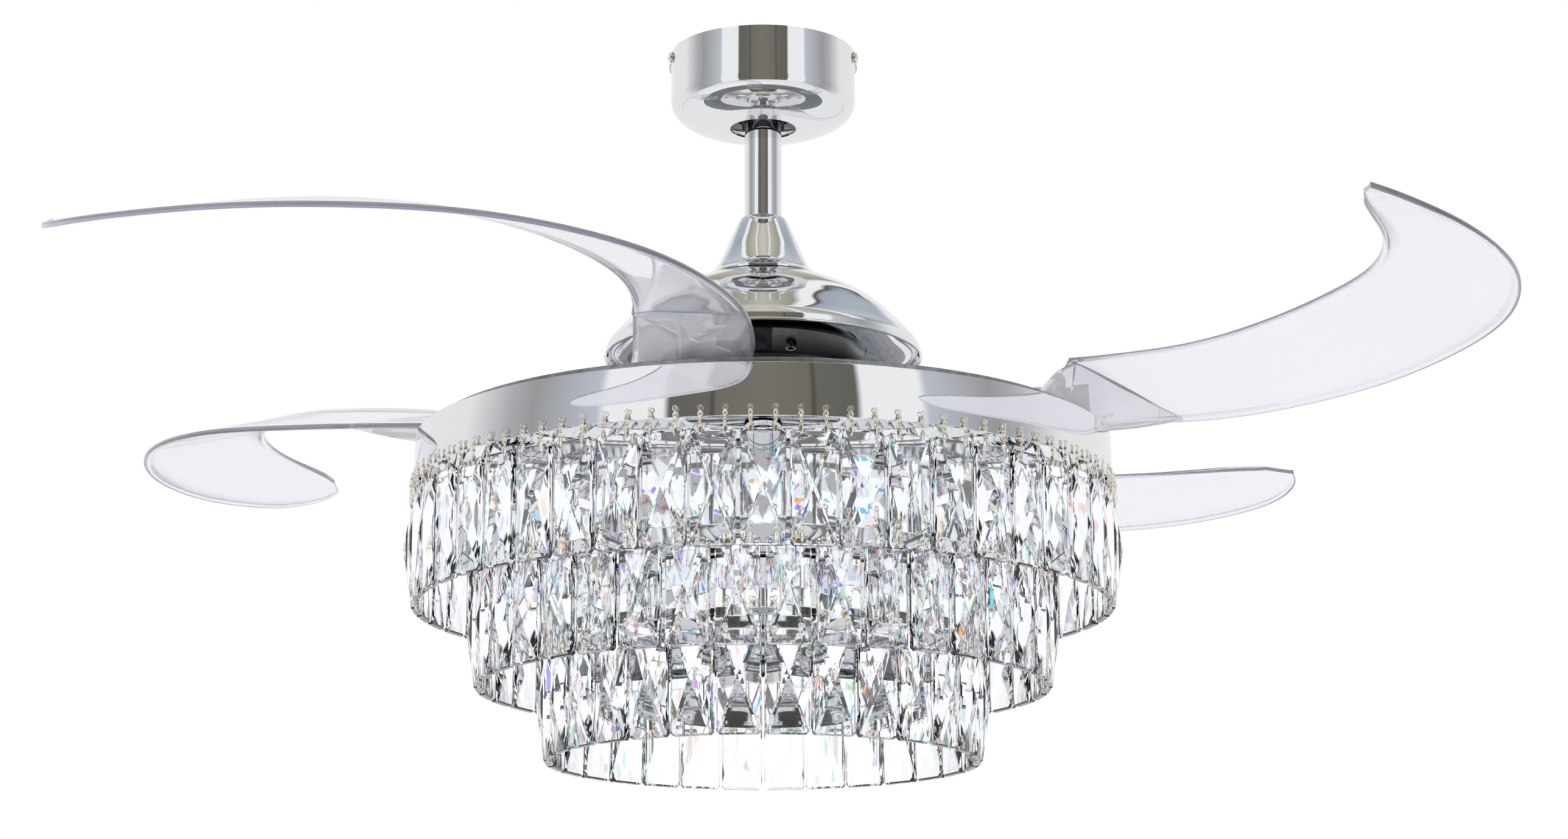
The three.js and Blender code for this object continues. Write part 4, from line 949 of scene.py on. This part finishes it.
@dataclass
class MotorDrum:
    """The black motor case with its cover, and the tray that carries the blades."""

    case_r: float = 95.0
    wall: float = 2.5
    case_top: float = -235.8
    cover_h: float = 26.0
    rim_h: float = 4.0
    floor: float = -298.0
    hub_r: float = 28.0
    hub_wall: float = 4.0
    gear_bottom: float = -319.2
    hub_bottom: float = -321.6
    bearing_r: float = 14.4
    bearing_h: float = 10.4
    shaft_hole_r: float = 9.4
    tray_r: float = 246.0
    tray_top: float = -298.4
    tray_sheet: float = 3.0
    tray_rim: float = 5.0
    bush_r: float = 13.0
    bush_bore: float = 6.6
    pivot_r: float = 205.0
    pivot_angle: float = -14.3

    def build(self) -> None:
        """Builds the case, its cover and the tray."""
        joint = self.case_top - self.cover_h
        marks = [(19.0, self.case_top)]
        marks += [(self.case_r * r, self.case_top - self.cover_h * drop)
                  for r, drop in ((0.36, 0.14), (0.66, 0.42), (0.93, 0.78))]
        marks += [(self.case_r, joint + 0.4 + self.rim_h)]
        line = [(self.bearing_r, self.case_top), *smooth_curve(marks, 6),
                (self.case_r, joint + 0.4)]
        make_piece("motor_cover_pressing", lathe(shell(line, self.wall), 96), BLACK,
                   Body.ROTOR, ["case_cover"])
        inner, seat = self.case_r - self.wall, self.hub_bottom + self.bearing_h
        case = rounded([
            (inner, joint), (self.case_r, joint), (self.case_r, self.floor),
            (self.hub_r, self.floor), (self.hub_r, self.gear_bottom),
            (self.hub_r - self.hub_wall, self.gear_bottom),
            (self.hub_r - self.hub_wall, self.hub_bottom), (self.bearing_r, self.hub_bottom),
            (self.bearing_r, seat), (self.shaft_hole_r, seat),
            (self.shaft_hole_r, self.floor + self.wall), (inner, self.floor + self.wall),
            (inner, joint - 0.01)], 0.8, 2)
        make_piece("motor_case_pressing", lathe(case, 96), BLACK, Body.ROTOR,
                   ["motor_case"])
        self.build_tray()

    def build_tray(self) -> None:
        """Builds the pressed tray with its turned down rim and pivot bushes."""
        inner, edge = self.hub_r + 0.6, self.tray_r
        bottom = self.tray_top - self.tray_sheet
        tray = lathe(rounded([
            (inner, bottom), (inner, self.tray_top), (edge, self.tray_top),
            (edge, bottom - self.tray_rim), (edge - self.tray_sheet, bottom - self.tray_rim),
            (edge - self.tray_sheet, bottom), (inner + 0.01, bottom)], 1.2), 160)
        bush = lathe([(self.bush_bore, bottom - 2.0), (self.bush_r, bottom - 2.0),
                      (self.bush_r, bottom + 0.2), (self.bush_bore, bottom + 0.2)], 32)
        for i in range(4):
            tray.add(bush.moved(turned_about_z(self.pivot_angle + 90 * i) @ at(self.pivot_r, 0, 0)))
        make_piece("tray_pressing", tray, STEEL, Body.ROTOR, ["blade_tray"])


@dataclass
class Blade:
    """One clear blade: its wrapped sheet and the ribbed block that it pivots on."""

    number: int
    pivot_angle: float = -14.3
    open_swing: float = 114.3
    pivot_r: float = 205.0
    inner_inset: float = 41.0
    outer_reach: float = 62.0
    top: float = -238.3
    depth: float = 49.0
    thickness: float = 3.0
    root_bottom: float = -298.0
    root_r: float = 41.0
    root_length: float = 116.0
    root_w: float = 41.0
    wall: float = 2.6
    neck_rise: float = 0.32
    neck_lean: float = 0.4
    boss_r: float = 12.0
    boss_h: float = 24.0
    bore_r: float = 6.4
    bore_h: float = 15.0
    rib: float = 2.0
    rib_h: float = 22.0
    rib_angles: tuple[float, ...] = (18.0, 72.0, 108.0, 162.0)

    def edge(self, inner: bool) -> list[tuple[float, float, float]]:
        """Returns an edge's marks as radius, clockwise angle and height."""
        r = self.pivot_r - self.inner_inset if inner else self.pivot_r + self.outer_reach
        marks = [
            (r, 4.7, 0.459), (r + 1, 18, 0.38), (r + 2, 34, 0.296), (r - 0.5, 60, 0.129),
            (r + 1, 78, 0.043), (r + 7, 97, 0.01), (r + 16, 120, 0), (r + 28, 137, 0),
            (r + 41, 146, 0.002), (r + 57, 151.6, 0.01),
        ] if inner else [
            (r - 20, 2, 1), (r - 18.5, 17, 1), (r - 8, 36, 0.96), (r - 0.2, 58, 0.81),
            (r - 0.9, 80, 0.683), (r - 1.8, 105, 0.63), (r - 1.0, 129, 0.55),
            (r - 3.4, 144.6, 0.41), (r - 13, 152.5, 0.237), (r - 25.6, 155.4, 0.085),
        ]
        return [(radius, angle, self.top - drop * self.depth) for radius, angle, drop in marks]

    def edge_point(self, inner: bool, share: float) -> Vector:
        """Returns a point of the centripetal curve through an edge's marks.

        Args:
            inner: Whether the point is on the inner edge.
            share: How far along the edge, from 0 to 1.

        Returns:
            Radius, clockwise angle and height.
        """
        rows = [Vector(m) for m in self.edge(inner)]
        last = len(rows) - 1
        place = min(share * last, last - 1e-9)
        k = int(place)
        t = place - k
        b, c = rows[k], rows[k + 1]
        a = rows[k - 1] if k > 0 else b * 2 - c
        d = rows[k + 2] if k + 2 <= last else c * 2 - b
        d0, d1, d2 = ((q - p).length ** 0.5 for p, q in ((a, b), (b, c), (c, d)))
        t1 = ((b - a) / d0 - (c - a) / (d0 + d1) + (c - b) / d1) * d1
        t2 = ((c - b) / d1 - (d - b) / (d1 + d2) + (d - c) / d2) * d1
        return (b + t1 * t + (b * -3 + c * 3 - t1 * 2 - t2) * t ** 2
                + (b * 2 - c * 2 + t1 + t2) * t ** 3)

    def sheet_height(self, radius: float, angle: float) -> float:
        """Returns the middle surface's height at a radius and angle near the root."""
        low, high = 0.0, 0.6
        found = self.edge_point(True, 0.0)
        for _ in range(20):
            along = (low + high) / 2
            a, b = self.edge_point(True, along), self.edge_point(False, along)
            found = a.lerp(b, (radius - a.x) / (b.x - a.x))
            low, high = (along, high) if found.y < angle else (low, along)
        return found.z

    def sheet(self) -> Form:
        """Returns the thin sheet with the rounded bead that runs round its edge."""
        stations, half = 96, self.thickness / 2
        marks = [(0.0, 0.45), (0.004, 1.0), (0.014, 1.36), (0.03, 1.36), (0.05, 1.12), (0.08, 1.0)]
        marks += [(t, 1.0) for t in (0.2, 0.35, 0.5, 0.65, 0.8)]
        marks += [(1.0 - t, thick) for t, thick in marks[5::-1]]
        rows = []
        for s in range(stations + 1):
            a, b = (self.edge_point(inner, s / stations) for inner in (True, False))
            top, low = [], []
            for t, thick in marks:
                p = a.lerp(b, t)
                turn = math.radians(p.y)
                x, y = p.x * math.cos(turn) - self.pivot_r, -p.x * math.sin(turn)
                top.append(Vector((x, y, p.z + half * thick)))
                low.append(Vector((x, y, p.z - half * thick)))
            rows.append(low + top[::-1])
        return skin(rows)

    def outline(self, count: int = 6) -> list[tuple[float, float, float]]:
        """Returns the root's outline as points along, points outward and angles on the base."""
        marks = [
            (0.147, -1, -75), (0.388, -0.56, -42), (0.603, -0.2, -10), (0.819, 0.17, 15),
            (1, 0.46, 36), (0.776, 0.66, 52), (0.517, 0.83, 68), (0.259, 0.95, 88),
            (0.103, 0.88, 115), (0.034, 0.44, 148), (0.026, -0.07, 180), (0.06, -0.59, 225),
        ]
        loop = [*marks, (marks[0][0], marks[0][1], marks[0][2] + 360)]
        return [(a * self.root_length, w * self.root_w, turn)
                for a, w, turn in smooth_curve(loop, count)[:-1]]

    def skirt_rows(self, inset: float) -> list[list[Vector]]:
        """Returns the rings of the root's wall, from its base up to its roof.

        Args:
            inset: How far inside the outer face.

        Returns:
            Rings of points about the blade's pivot.
        """
        centre = (self.root_length * 0.39, self.root_w * 0.12)
        base_r = self.root_r - inset
        rows: list[list[Vector]] = [[] for _ in range(7)]
        for along, outward, turn in self.outline():
            turn = math.radians(turn)
            base = Vector((base_r * math.sin(turn), -base_r * math.cos(turn), self.root_bottom))
            away = math.hypot(along - centre[0], outward - centre[1])
            keep = (away - 1.3 * inset) / away
            a = centre[0] + (along - centre[0]) * keep
            w = centre[1] + (outward - centre[1]) * keep
            roof = Vector((w, -a, self.roof_height(w, -a) - self.thickness * 0.3))
            neck = base.lerp(roof, 1 - self.neck_lean)
            neck.z = base.z + (roof.z - base.z) * self.neck_rise
            for k, row in enumerate(rows):
                t = k / (len(rows) - 1)
                row.append(base * (1 - t) ** 2 * (1 - t) + neck * 3 * t * (1 - t) + roof * t ** 3)
        return rows

    def roof_height(self, x: float, y: float) -> float:
        """Returns the sheet's height over a point about the closed blade's pivot."""
        radius = math.hypot(self.pivot_r + x, -y)
        return self.sheet_height(radius, math.degrees(math.atan2(-y, self.pivot_r + x)))

    def root(self) -> Form:
        """Returns the hollow root wall and its boss."""
        wall = skin(self.skirt_rows(0.0) + self.skirt_rows(self.wall)[::-1], ends=False)
        return wall.add(self.boss())

    def ribs(self) -> Form:
        """Returns the crossing ribs inside the root, from wall to wall under the sheet."""
        made = Form()
        reach = (self.root_r - self.wall) * 0.97
        for angle in self.rib_angles:
            turn = math.radians(angle)
            step = Vector((math.sin(turn), -math.cos(turn), 0.0))
            side = Vector((-step.y, step.x, 0.0)) * self.rib / 2
            rows = []
            for i in range(13):
                p = step * (reach * (-1 + 2 * i / 12))
                under_sheet = -p.y > 3.0
                roof = (self.roof_height(p.x, p.y) - 0.5 if under_sheet
                        else self.root_bottom + self.rib_h)
                high = Vector((p.x, p.y, roof))
                low = Vector((p.x, p.y, self.root_bottom + 0.6))
                rows.append([low - side, low + side, high + side, high - side])
            made.add(skin(rows))
        return made

    def boss(self) -> Form:
        """Returns the boss that the pivot shaft is pressed into."""
        low, high = self.root_bottom, self.root_bottom + self.boss_h
        line = rounded([(self.bore_r, low), (self.boss_r, low), (self.boss_r - 1.0, high),
                        (0.0, high)], 1.0)
        return lathe([*line, (0.0, low + self.bore_h), (self.bore_r, low + self.bore_h)], 40)

    def place(self) -> Matrix:
        """Returns the move from the blade's pivot to its place with the blades open."""
        return (turned_about_z(self.pivot_angle + 90 * (self.number - 1)) @ at(self.pivot_r, 0, 0)
                @ turned_about_z(self.open_swing))

    def build(self) -> None:
        """Builds the blade's sheet, its root and its ribs on their own arm."""
        arm, number, place = f"blade_arm_{self.number}", self.number, self.place()
        make_piece(f"blade_sheet_{number}", self.sheet().moved(place), BLADE_PLASTIC,
                   arm, [f"blade_{number}"], MOULD_SHARP)
        make_piece(f"blade_root_{number}", self.root().moved(place), ROOT_PLASTIC,
                   arm, sharp=MOULD_SHARP)
        ribs = make_piece(f"blade_ribs_{number}", self.ribs().moved(place), RIB_PLASTIC,
                          arm, sharp=MOULD_SHARP)
        hollow = skin(self.skirt_rows(self.wall * 0.8))
        carve(ribs, hollow.moved(place), "INTERSECT", MOULD_SHARP)


@dataclass
class CrystalTier:
    """One chromed hoop with its cut crystal bars, each on two beaded hooks."""

    number: int
    outer: float
    top: float
    count: int
    band_h: float = 37.0
    wall: float = 1.5
    crystal_inset: float = 6.0
    crystal_w: float = 30.5
    crystal_h: float = 79.0
    crystal_edge: float = 6.0
    crown: float = 6.5
    nick: float = 2.2
    hang: float = 8.0
    hook_rise: float = 7.5
    hook_face: float = 2.1
    hook_ring_r: float = 1.5
    hook_wire_r: float = 0.42

    @property
    def bottom(self) -> float:
        """Height of the hoop's lower edge."""
        return self.top - self.band_h

    def hoop(self) -> Form:
        """Returns the hoop with its edges rolled over a little."""
        inner = self.outer - self.wall
        outside = [(inner, self.bottom), (self.outer, self.bottom), (self.outer, self.top),
                   (inner, self.top), (inner, self.bottom + 0.01)]
        return lathe(rounded(outside, 0.7), 216)

    def crystal(self) -> Form:
        """Returns one bar about its hook line: a pointed front, a cut back, bevelled sides."""
        half, high, nick = self.crystal_w / 2, self.crystal_h / 2, self.nick
        z = self.bottom - self.hang - high
        back = self.crown - self.crystal_edge
        front = back + self.crystal_edge

        def ring(x: float, trim: float) -> list[Vector]:
            w, h = half - trim, high - trim
            marks = [(-w + nick, -h), (w - nick, -h), (w, -h + nick), (w, h - nick),
                     (w - nick, h), (-w + nick, h), (-w, h - nick), (-w, -h + nick)]
            return [Vector((x, y, z + up)) for y, up in marks]

        form = skin([ring(back, 1.1), ring(back + 1.1, 0.0), ring(front - 0.8, 0.0),
                     ring(front, 0.8)])
        del form.faces[-2:]
        apex, hollow = len(form.points), len(form.points) + 1
        form.points += [Vector((front + self.crown, 0, z)), Vector((back - 1.8, 0, z))]
        for i in range(8):
            j = (i + 1) % 8
            form.faces += [(24 + i, 24 + j, apex), (j, i, hollow)]
        return form

    def hook(self) -> Form:
        """Returns one hook: a wire ring, two beads and the tongue that holds the crystal."""
        top, face = self.bottom + self.hook_rise, self.hook_face
        ring_r, wire = self.hook_ring_r, self.hook_wire_r
        loop = []
        for i in range(14):
            a = TAU * i / 14
            middle = Vector((face, math.cos(a) * ring_r, top - ring_r + math.sin(a) * ring_r))
            out = Vector((0, math.cos(a), math.sin(a)))
            loop.append([middle + out * wire * math.cos(b) + Vector((wire * math.sin(b), 0, 0))
                         for b in (TAU * k / 6 for k in range(6))])
        bead = [(0.0, 0.0), (0.8, -0.3), (1.75, -2.4), (1.75, -3.6), (0.6, -5.3), (1.35, -6.6),
                (1.45, -7.7), (0.55, -9.1), (1.2, -10.4), (1.75, -12.2), (1.65, -14.0),
                (0.8, -16.2), (0.0, -17.6)]
        start = top - 2 * ring_r - 0.2
        drop = lathe([(r, start + z) for r, z in bead], 8, closed=False)
        flat = Matrix.Diagonal((0.8, 1.0, 1.0, 1.0))
        return skin(loop, ends=False).add(drop.moved(at(face, 0, 0) @ flat))

    def build(self) -> None:
        """Builds the hoop, its crystals and their hooks."""
        make_piece(f"tier_{self.number}_hoop", self.hoop(), CHROME,
                   Body.HANGER, [f"crystal_tier_{self.number}"])
        tree = RingTree()
        bars = tree.run(f"tier_{self.number}_crystals", self.crystal(), CRYSTAL, self.count,
                        self.outer - self.crystal_inset, 0.0, 0.8, 10 + self.number, sharp=0)
        settle(bars, CRYSTAL, Body.HANGER)
        hooks = tree.run(f"tier_{self.number}_hooks", self.hook(), BRASS, self.count * 2,
                         self.outer, 90.0 / self.count, 3.0, 20 + self.number, MOULD_SHARP)
        settle(hooks, BRASS, Body.HANGER)


@dataclass
class LampCluster:
    """The chromed pan over the crystals, the stem below it, lamp holders and bulbs."""

    pan_r: float = 253.4
    pan_bottom: float = -325.8
    pan_sheet: float = 2.0
    pan_rise: float = 14.0
    pan_bore: float = 7.4
    stem_r: float = 14.0
    stem_h: float = 68.0
    hub_r: float = 60.0
    hub_sheet: float = 6.0
    holder_r: float = 13.0
    holder_h: float = 36.0
    bulb_r: float = 7.5
    bulb_h: float = 34.0
    pitch_r: float = 42.0
    gap: float = 0.4

    def build(self) -> None:
        """Builds the pan, the stem, the holders and the bulbs."""
        top, rim = self.pan_bottom + self.pan_sheet, self.pan_r
        pan = rounded([
            (self.pan_bore, top), (self.pan_bore, self.pan_bottom), (rim, self.pan_bottom),
            (rim, top + self.pan_rise), (rim - self.pan_sheet, top + self.pan_rise),
            (rim - self.pan_sheet, top), (self.pan_bore + 0.01, top)], 0.8, 2)
        make_piece("lamp_pan", lathe(pan, 192), CHROME, Body.HANGER, ["lamp_plate"])
        start = self.pan_bottom - self.gap
        hub = start - self.stem_h
        stem = rounded([
            (self.stem_r - 2, hub), (self.stem_r - 2, start), (self.stem_r, start),
            (self.stem_r, hub), (self.hub_r, hub), (self.hub_r, hub - self.hub_sheet),
            (0.0, hub - self.hub_sheet)], 1.4)
        make_piece("lamp_stem_and_hub", lathe([(0.0, hub - 0.5), *stem], 96, closed=False),
                   CHROME, Body.HANGER, ["lamp_stem"])
        holder_top = hub - self.hub_sheet - self.gap
        bulb_top = holder_top - self.holder_h - self.gap
        for i in range(4):
            turn = math.radians(45 + 90 * i)
            place = at(self.pitch_r * math.cos(turn), self.pitch_r * math.sin(turn), 0)
            make_piece(f"holder_moulding_{i + 1}", self.holder(holder_top).moved(place), HOLDER,
                       Body.HANGER, [f"lamp_holder_{i + 1}"])
            make_piece(f"bulb_envelope_{i + 1}", self.bulb(bulb_top).moved(place), BULB,
                       Body.HANGER, [f"bulb_{i + 1}"])

    def holder(self, top: float) -> Form:
        """Returns a lamp holder with a waist and three grip rings, hanging from a height."""
        r, h = self.holder_r, self.holder_h
        line = [(0.0, top), (r * 0.7, top), (r * 0.7, top - h * 0.25), (r, top - h * 0.35)]
        for i in range(3):
            z = top - h * (0.5 + 0.13 * i)
            line += [(r, z + 1.2), (r - 0.7, z + 0.5), (r - 0.7, z - 0.5), (r, z - 1.2)]
        line += [(r, top - h), (r - 2.5, top - h), (r - 2.5, top - h + 4), (0.0, top - h + 4)]
        return lathe(rounded(line, 0.6, 2), 48, closed=False)

    def bulb(self, top: float) -> Form:
        """Returns a small candle bulb hanging point down from a height."""
        r, h = self.bulb_r, self.bulb_h
        marks = [(r * 0.85, top), (r * 0.85, top - h * 0.2), (r, top - h * 0.36),
                 (r, top - h * 0.6), (r * 0.82, top - h * 0.82), (r * 0.4, top - h * 0.96),
                 (0.0, top - h)]
        line = [(max(a, 0.0), max(z, top - h)) for a, z in smooth_curve(marks, 4)]
        line[-1] = (0.0, top - h)
        return lathe([(0.0, top), *line], 40, closed=False)


@dataclass
class HiddenWorks:
    """The CAD nodes that keep their shape: the bracket, frame, motor, gears and springs."""

    finishes: dict[str, tuple[Finish, str]] = field(default_factory=lambda: {
        "ceiling_bracket": (STEEL, ""), "terminal_block": (NYLON, ""), "hanger_pin": (STEEL, ""),
        "motor_coupling": (STEEL, ""), "coupling_pin": (STEEL, ""), "motor_frame": (BLACK, ""),
        "motor_shaft": (STEEL, ""), "stator_core": (STEEL, ""), "stator_winding": (COPPER, ""),
        "bearing_upper": (STEEL, ""), "bearing_lower": (STEEL, ""), "gear_retainer": (STEEL, ""),
        "sync_gear": (NYLON, ""), "pivot_gear": (NYLON, "1234"), "return_spring": (STEEL, "1234"),
        "tier_strut": (CHROME, "123"), "shaft_nut": (STEEL, ""),
    })

    def build(self) -> None:
        """Gives each kept node its finish."""
        for stem, (finish, numbers) in self.finishes.items():
            for name in [f"{stem}_{n}" for n in numbers] or [stem]:
                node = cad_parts[name]
                node.data.materials.clear()
                node.data.materials.append(finish.material())
                log.info("%s keeps its shape in %s", name, finish.name)


# ------------------------------------------------------------------ studio


@dataclass
class Studio:
    """A white product studio: plain floor, soft light and the photograph's camera.

    Lengths here are in metres.
    """

    floor_z: float = -2.2
    floor_size: float = 9.0
    camera_place: tuple[float, float, float] = (0.0, -2.4077, -0.8503)
    camera_tilt: float = 0.2311
    lens: float = 76.78
    shift: float = 0.01335
    diffuse_power: float = 1.0
    through_power: float = 1.1
    deep_lift: float = 0.3
    deep_panes: float = 3.5
    whitening: float = 0.78
    lamp_place: tuple[float, float, float] = (-1.9, -2.1, 0.5)
    lamp_aim: tuple[float, float, float] = (-1.9, -2.1, 0.8)

    def build(self) -> None:
        """Builds the floor, the world, the lamp and the camera."""
        self.floor()
        self.world()
        self.lamp()
        self.camera()

    def floor(self) -> None:
        """Lays the plain pale floor well below the fan."""
        half = self.floor_size / 2 / MM
        corners = ((-half, -half), (half, -half), (half, half), (-half, half))
        form = Form([Vector((x, y, self.floor_z / MM)) for x, y in corners], [(0, 1, 2, 3)])
        floor = make_mesh("studio_floor", form, 0)
        floor.data.materials.append(SprayPaint("pale_floor_paint", "#F4F4F3", 0.6).material())

    def world(self) -> None:
        """Makes a white backdrop, and for metal and glass the panels of a photo studio."""
        world = bpy.data.worlds.new("white_studio")
        bpy.context.scene.world = world
        world.use_nodes = True
        tree = world.node_tree
        tree.nodes.clear()
        way = add_node(tree, "ShaderNodeTexCoord").outputs["Generated"]
        path = add_node(tree, "ShaderNodeLightPath").outputs
        panels = self.panels(tree, way)
        deep = calc(tree, "GREATER_THAN", path["Transmission Depth"], self.deep_panes)
        clear = mix(tree, self.whitening, panels, WHITE)
        through = mix(tree, deep, clear, self.glints(tree, way))
        lift = calc(tree, "MULTIPLY_ADD", deep, self.deep_lift, self.through_power)
        chosen, glossy, seen_through, backdrop = (
            add_node(tree, "ShaderNodeBackground", inputs={"Color": colour, "Strength": power})
            for colour, power in ((WHITE, self.diffuse_power), (panels, 1.0), (through, lift),
                                  (WHITE, 1.0)))
        for ray, light in (("Is Glossy Ray", glossy), ("Is Transmission Ray", seen_through),
                           ("Is Camera Ray", backdrop)):
            chosen = add_node(
                tree, "ShaderNodeMixShader",
                inputs={0: path[ray], 1: chosen.outputs[0], 2: light.outputs[0]})
        add_node(tree, "ShaderNodeOutputWorld", inputs={"Surface": chosen.outputs[0]})

    @staticmethod
    def panels(tree: Tree, way: Socket) -> Socket:
        """Adds the studio's panels by direction.

        Args:
            tree: The world's node tree.
            way: The direction looked in.

        Returns:
            The colour seen there.
        """
        parts = add_node(tree, "ShaderNodeSeparateXYZ", inputs={"Vector": way}).outputs
        front = calc(tree, "MULTIPLY", parts["Y"], -1.0)
        angle = calc(tree, "ABSOLUTE", calc(tree, "ARCTAN2", parts["X"], front))
        share = calc(tree, "DIVIDE", angle, math.pi)
        walls = ramp(tree, share, [
            (0.0, "#7F7C72"), (0.082, "#77746A"), (0.088, "#4D4A44"), (0.094, "#706E66"),
            (0.165, "#6A6963"), (0.175, "#FFFFFF"), (0.285, "#FFFFFF"),
            (0.3, "#C8CDD7"), (0.44, "#A5A5A5"), (0.5, "#B9BABC"), (0.62, "#F4F4F4"),
        ])
        over_front = ramp(tree, share, [
            (0.0, "#D6D3C8"), (0.14, "#C4C0B4"), (0.16, "#FFFFFF"), (0.2, "#C9C6BA"),
            (0.4, "#A8A497"), (0.43, "#FFFFFF"), (0.52, "#FFFFFF"), (0.54, "#5C4536"),
            (0.57, "#B9BFC8"), (0.75, "#E4E8ED"),
        ])
        over_back = ramp(tree, calc(tree, "ABSOLUTE", parts["X"]), [
            (0.0, "#C9C5B8"), (0.16, "#A7A394"), (0.2, "#FFFFFF"), (0.25, "#FFFFFF"),
            (0.265, "#5C4536"), (0.29, "#AAB3BD"), (0.5, "#CBD2DA"), (0.8, "#96A0AB"),
        ])
        overhead = mix(tree, calc(tree, "GREATER_THAN", parts["Y"], 0.0), over_front, over_back)
        shown = walls
        for low, high, colour in ((0.5, 0.62, overhead), (-0.5, -0.75, linear("#F6F6F6"))):
            blend = add_node(
                tree, "ShaderNodeMapRange", {"interpolation_type": "SMOOTHSTEP"},
                {"Value": parts["Z"], "From Min": low, "From Max": high}).outputs["Result"]
            shown = mix(tree, blend, shown, colour)
        return shown

    @staticmethod
    def glints(tree: Tree, way: Socket) -> Socket:
        """Adds what light shows after several panes of cut glass: tones and split colours.

        Args:
            tree: The world's node tree.
            way: The direction looked in.

        Returns:
            The colour seen there.
        """
        def cells(scale: float) -> Socket:
            found = add_node(tree, "ShaderNodeTexVoronoi", inputs={"Vector": way, "Scale": scale})
            return add_node(
                tree, "ShaderNodeSeparateColor", inputs={"Color": found.outputs["Color"]}
            ).outputs["Red"]

        tones = ramp(tree, cells(5.5), [
            (0.0, "#565655"), (0.1, "#565655"), (0.11, "#A3A3A2"), (0.24, "#ABABAA"),
            (0.25, "#DCDFE3"), (0.42, "#E6E9EC"), (0.43, "#FFFFFF"),
        ])
        colours = ramp(tree, cells(26.0), [
            (0.0, "#FFB055"), (0.02, "#F27FA8"), (0.035, "#6B80FF"), (0.05, "#58D3DC"),
            (0.065, "#A6E785"), (0.08, "#FFFFFF"),
        ])
        return mix(tree, 1.0, tones, colours, "MULTIPLY")

    def lamp(self) -> None:
        """Hangs one soft lamp to the upper left, unseen in the mirrors."""
        data = bpy.data.lights.new("soft_box", "AREA")
        data.shape = "RECTANGLE"
        data.size, data.size_y, data.energy = 1.6, 1.2, 26.0
        lamp = add_object("soft_box", data)
        facing = Vector(self.lamp_aim).to_track_quat("Z", "Y").to_matrix().to_4x4()
        lamp.matrix_world = Matrix.Translation(self.lamp_place) @ facing
        lamp.visible_glossy = False
        lamp.visible_transmission = False

    def camera(self) -> None:
        """Sets the camera at the photograph's place and angle."""
        data = bpy.data.cameras.new("photo_camera")
        data.lens = self.lens
        data.sensor_width = 36.0
        data.shift_x = self.shift
        camera = add_object("photo_camera", data)
        camera.location = self.camera_place
        camera.rotation_euler = (math.pi / 2 + self.camera_tilt, 0.0, 0.0)
        bpy.context.scene.camera = camera


def main() -> None:
    """Builds the fan from the ceiling down, then the studio, and reports each piece."""
    logging.basicConfig(level=logging.INFO, format="%(name)s: %(message)s")
    bpy.context.scene.view_settings.view_transform = "Standard"
    CeilingMount().build()
    RodAndCover().build()
    DomeAndDish().build()
    MotorDrum().build()
    for number in (1, 2, 3, 4):
        Blade(number).build()
    CrystalTier(1, 255.5, -304.0, 48).build()
    CrystalTier(2, 208.5, -362.0, 38).build()
    CrystalTier(3, 157.5, -415.0, 30).build()
    LampCluster().build()
    HiddenWorks().build()
    Studio().build()


if __name__ == "__main__":
    main()
